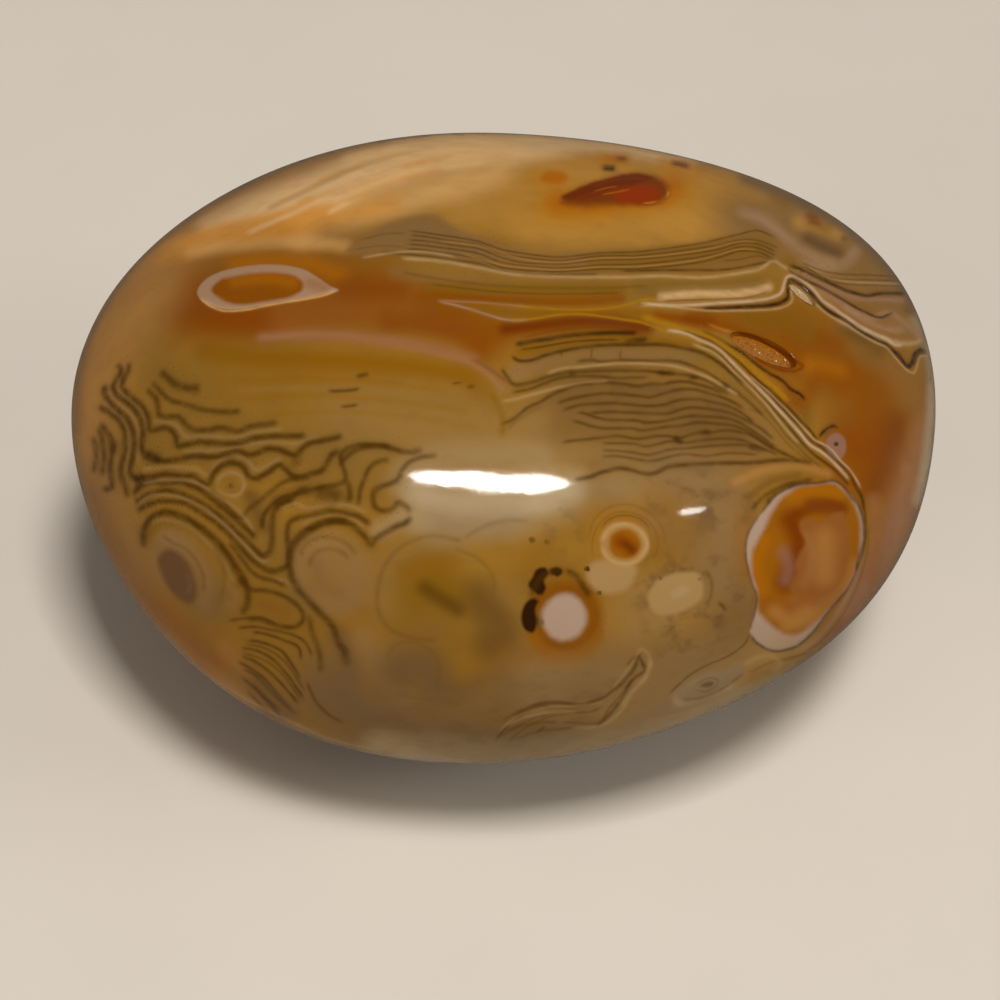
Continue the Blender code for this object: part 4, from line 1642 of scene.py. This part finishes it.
def grow_crystals(name, node, hollow, placing, width, colour):
    """A bowl of quartz that lines a hollow, set with six-sided points."""
    chance = random.Random(hollow["seed"])
    half = Vector((hollow["length"] / 2, hollow["width"] / 2, hollow["depth"]))
    bowl = half - Vector((CRUST_GAP, CRUST_GAP, CRUST_GAP))
    bm = bmesh.new()
    bmesh.ops.create_icosphere(bm, subdivisions=4, radius=1.0)
    for vert in bm.verts:
        way = vert.co.normalized()
        sink = CRUST_LEVEL if way.z > -CRUST_LEVEL else -way.z
        vert.co = Vector((way.x * bowl.x, way.y * bowl.y, -sink * bowl.z))
    for _ in range(hollow["points"]):
        turn = chance.uniform(0, 2 * math.pi)
        reach = 0.96 * math.sqrt(chance.random())
        across = width * chance.uniform(0.55, 1.25)
        height = across * chance.uniform(0.7, 1.3)
        foot = Vector((math.cos(turn) * reach * bowl.x, math.sin(turn) * reach * bowl.y, 0))
        foot.z = -(CRUST_LEVEL * bowl.z + 0.2 * height)
        lean = Vector((chance.gauss(0, POINT_LEAN), chance.gauss(0, POINT_LEAN), 1))
        stand = Matrix.Translation(foot) @ turned_to(lean) @ Matrix.Rotation(turn, 4, "Z")
        bmesh.ops.create_cone(
            bm,
            cap_ends=True,
            segments=6,
            radius1=across / 2,
            radius2=0.0,
            depth=height,
            matrix=stand,
        )
    bmesh.ops.transform(bm, matrix=placing, verts=bm.verts)
    bmesh.ops.recalc_face_normals(bm, faces=bm.faces)
    crust = new_object(name, bm)
    crust.data.materials.append(quartz_crystals(name, colour))
    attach(crust, "root")
    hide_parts(node)


class PALMSTONE_OT_crystals(bpy.types.Operator):
    """Grows the crusts of quartz points in the two hollows"""

    bl_idname = "palmstone.crystals"
    bl_label = "Quartz Crystals"

    def execute(self, context):
        settings = context.scene.crystal_settings
        pocket, pit = hollow_places()
        width = settings.point_width
        amber, beige = settings.pocket_colour, settings.pit_colour
        grow_crystals("pocket_crystals", "crystal_pocket_crust", POCKET, pocket, width, amber)
        grow_crystals("pit_crystals", "quartz_pit_crust", PIT, pit, width, beige)
        return {"FINISHED"}


def lay_floor(size, paint):
    bm = bmesh.new()
    bmesh.ops.create_grid(bm, x_segments=1, y_segments=1, size=size / 2)
    floor = new_object("studio_floor", bm)
    graph = Graph("floor_paint")
    colour = linear(*from_setting(paint))
    mottled = graph.mix(graph.noise(60.0), opaque(colour), opaque(FLOOR_SHADE * colour))
    graph.feed(graph.shader.inputs["Base Color"], mottled)
    graph.shader.inputs["Roughness"].default_value = 0.6
    floor.data.materials.append(graph.material)
    floor.visible_glossy = False


def place_camera(scene):
    towards, right, up, aim = drawing_axes()
    lens = bpy.data.cameras.new("camera")
    lens.lens = DRAWING_REACH / DRAWING_SIZE * SENSOR
    lens.sensor_width = SENSOR
    lens.clip_start = 0.01
    camera = bpy.data.objects.new("camera", lens)
    turn = Matrix((right, up, towards)).transposed().to_4x4()
    camera.matrix_world = Matrix.Translation(aim + towards * VIEW_DISTANCE) @ turn
    scene.collection.objects.link(camera)
    scene.camera = camera


def add_light(name, light, power):
    """An area light, in the direction and at the distance from its lit spot that it is given."""
    data = bpy.data.lights.new(f"{name}_light", "AREA")
    data.shape = light["shape"]
    data.size, data.size_y = light["size"]
    data.energy = power
    data.color = light["colour"]
    lamp = bpy.data.objects.new(f"{name}_light", data)
    towards = Vector(direction(*(math.radians(angle) for angle in light["from"])))
    place = Vector(light["spot"]) / MILLIMETRES + towards * light["distance"]
    lamp.matrix_world = Matrix.Translation(place) @ turned_to(towards)
    # The ellipses are seen only in the polish, and the wide lights only light the colours
    lamp.visible_glossy = light["shape"] == "ELLIPSE"
    lamp.visible_diffuse = light["shape"] != "ELLIPSE"
    bpy.context.scene.collection.objects.link(lamp)


class PALMSTONE_OT_stage(bpy.types.Operator):
    """Sets up the floor, the lights and the camera"""

    bl_idname = "palmstone.stage"
    bl_label = "Studio Stage"

    def execute(self, context):
        scene = context.scene
        settings = scene.stage_settings
        lay_floor(settings.floor_size, settings.floor_colour)
        place_camera(scene)
        for name, light in LIGHTS.items():
            add_light(name, light, getattr(settings, f"{name}_power"))
        world = bpy.data.worlds.new("room")
        world.use_nodes = True
        background = world.node_tree.nodes["Background"]
        background.inputs["Color"].default_value = ROOM_COLOUR
        background.inputs["Strength"].default_value = settings.room_light
        scene.world = world
        scene.view_settings.view_transform = "Standard"
        return {"FINISHED"}


class PALMSTONE_PT_panel(bpy.types.Panel):
    """Shows the steps that build the palm stone"""

    bl_idname = "PALMSTONE_PT_panel"
    bl_label = "Palm Stone"
    bl_space_type = "VIEW_3D"
    bl_region_type = "UI"
    bl_category = "Palm Stone"

    def draw(self, context):
        for operator in OPERATORS:
            self.layout.operator(operator.bl_idname)


OPERATORS = (PALMSTONE_OT_stone, PALMSTONE_OT_crystals, PALMSTONE_OT_stage)
GROUPS = {
    "agate_settings": AgateSettings,
    "crystal_settings": CrystalSettings,
    "stage_settings": StageSettings,
}
CLASSES = (*GROUPS.values(), *OPERATORS, PALMSTONE_PT_panel)


def register():
    for made in CLASSES:
        bpy.utils.register_class(made)
    for name, group in GROUPS.items():
        setattr(bpy.types.Scene, name, PointerProperty(type=group))


def unregister():
    for name in GROUPS:
        delattr(bpy.types.Scene, name)
    for made in reversed(CLASSES):
        bpy.utils.unregister_class(made)


def main():
    register()
    bpy.ops.palmstone.stone()
    bpy.ops.palmstone.crystals()
    bpy.ops.palmstone.stage()
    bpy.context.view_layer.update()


if __name__ == "__main__":
    main()
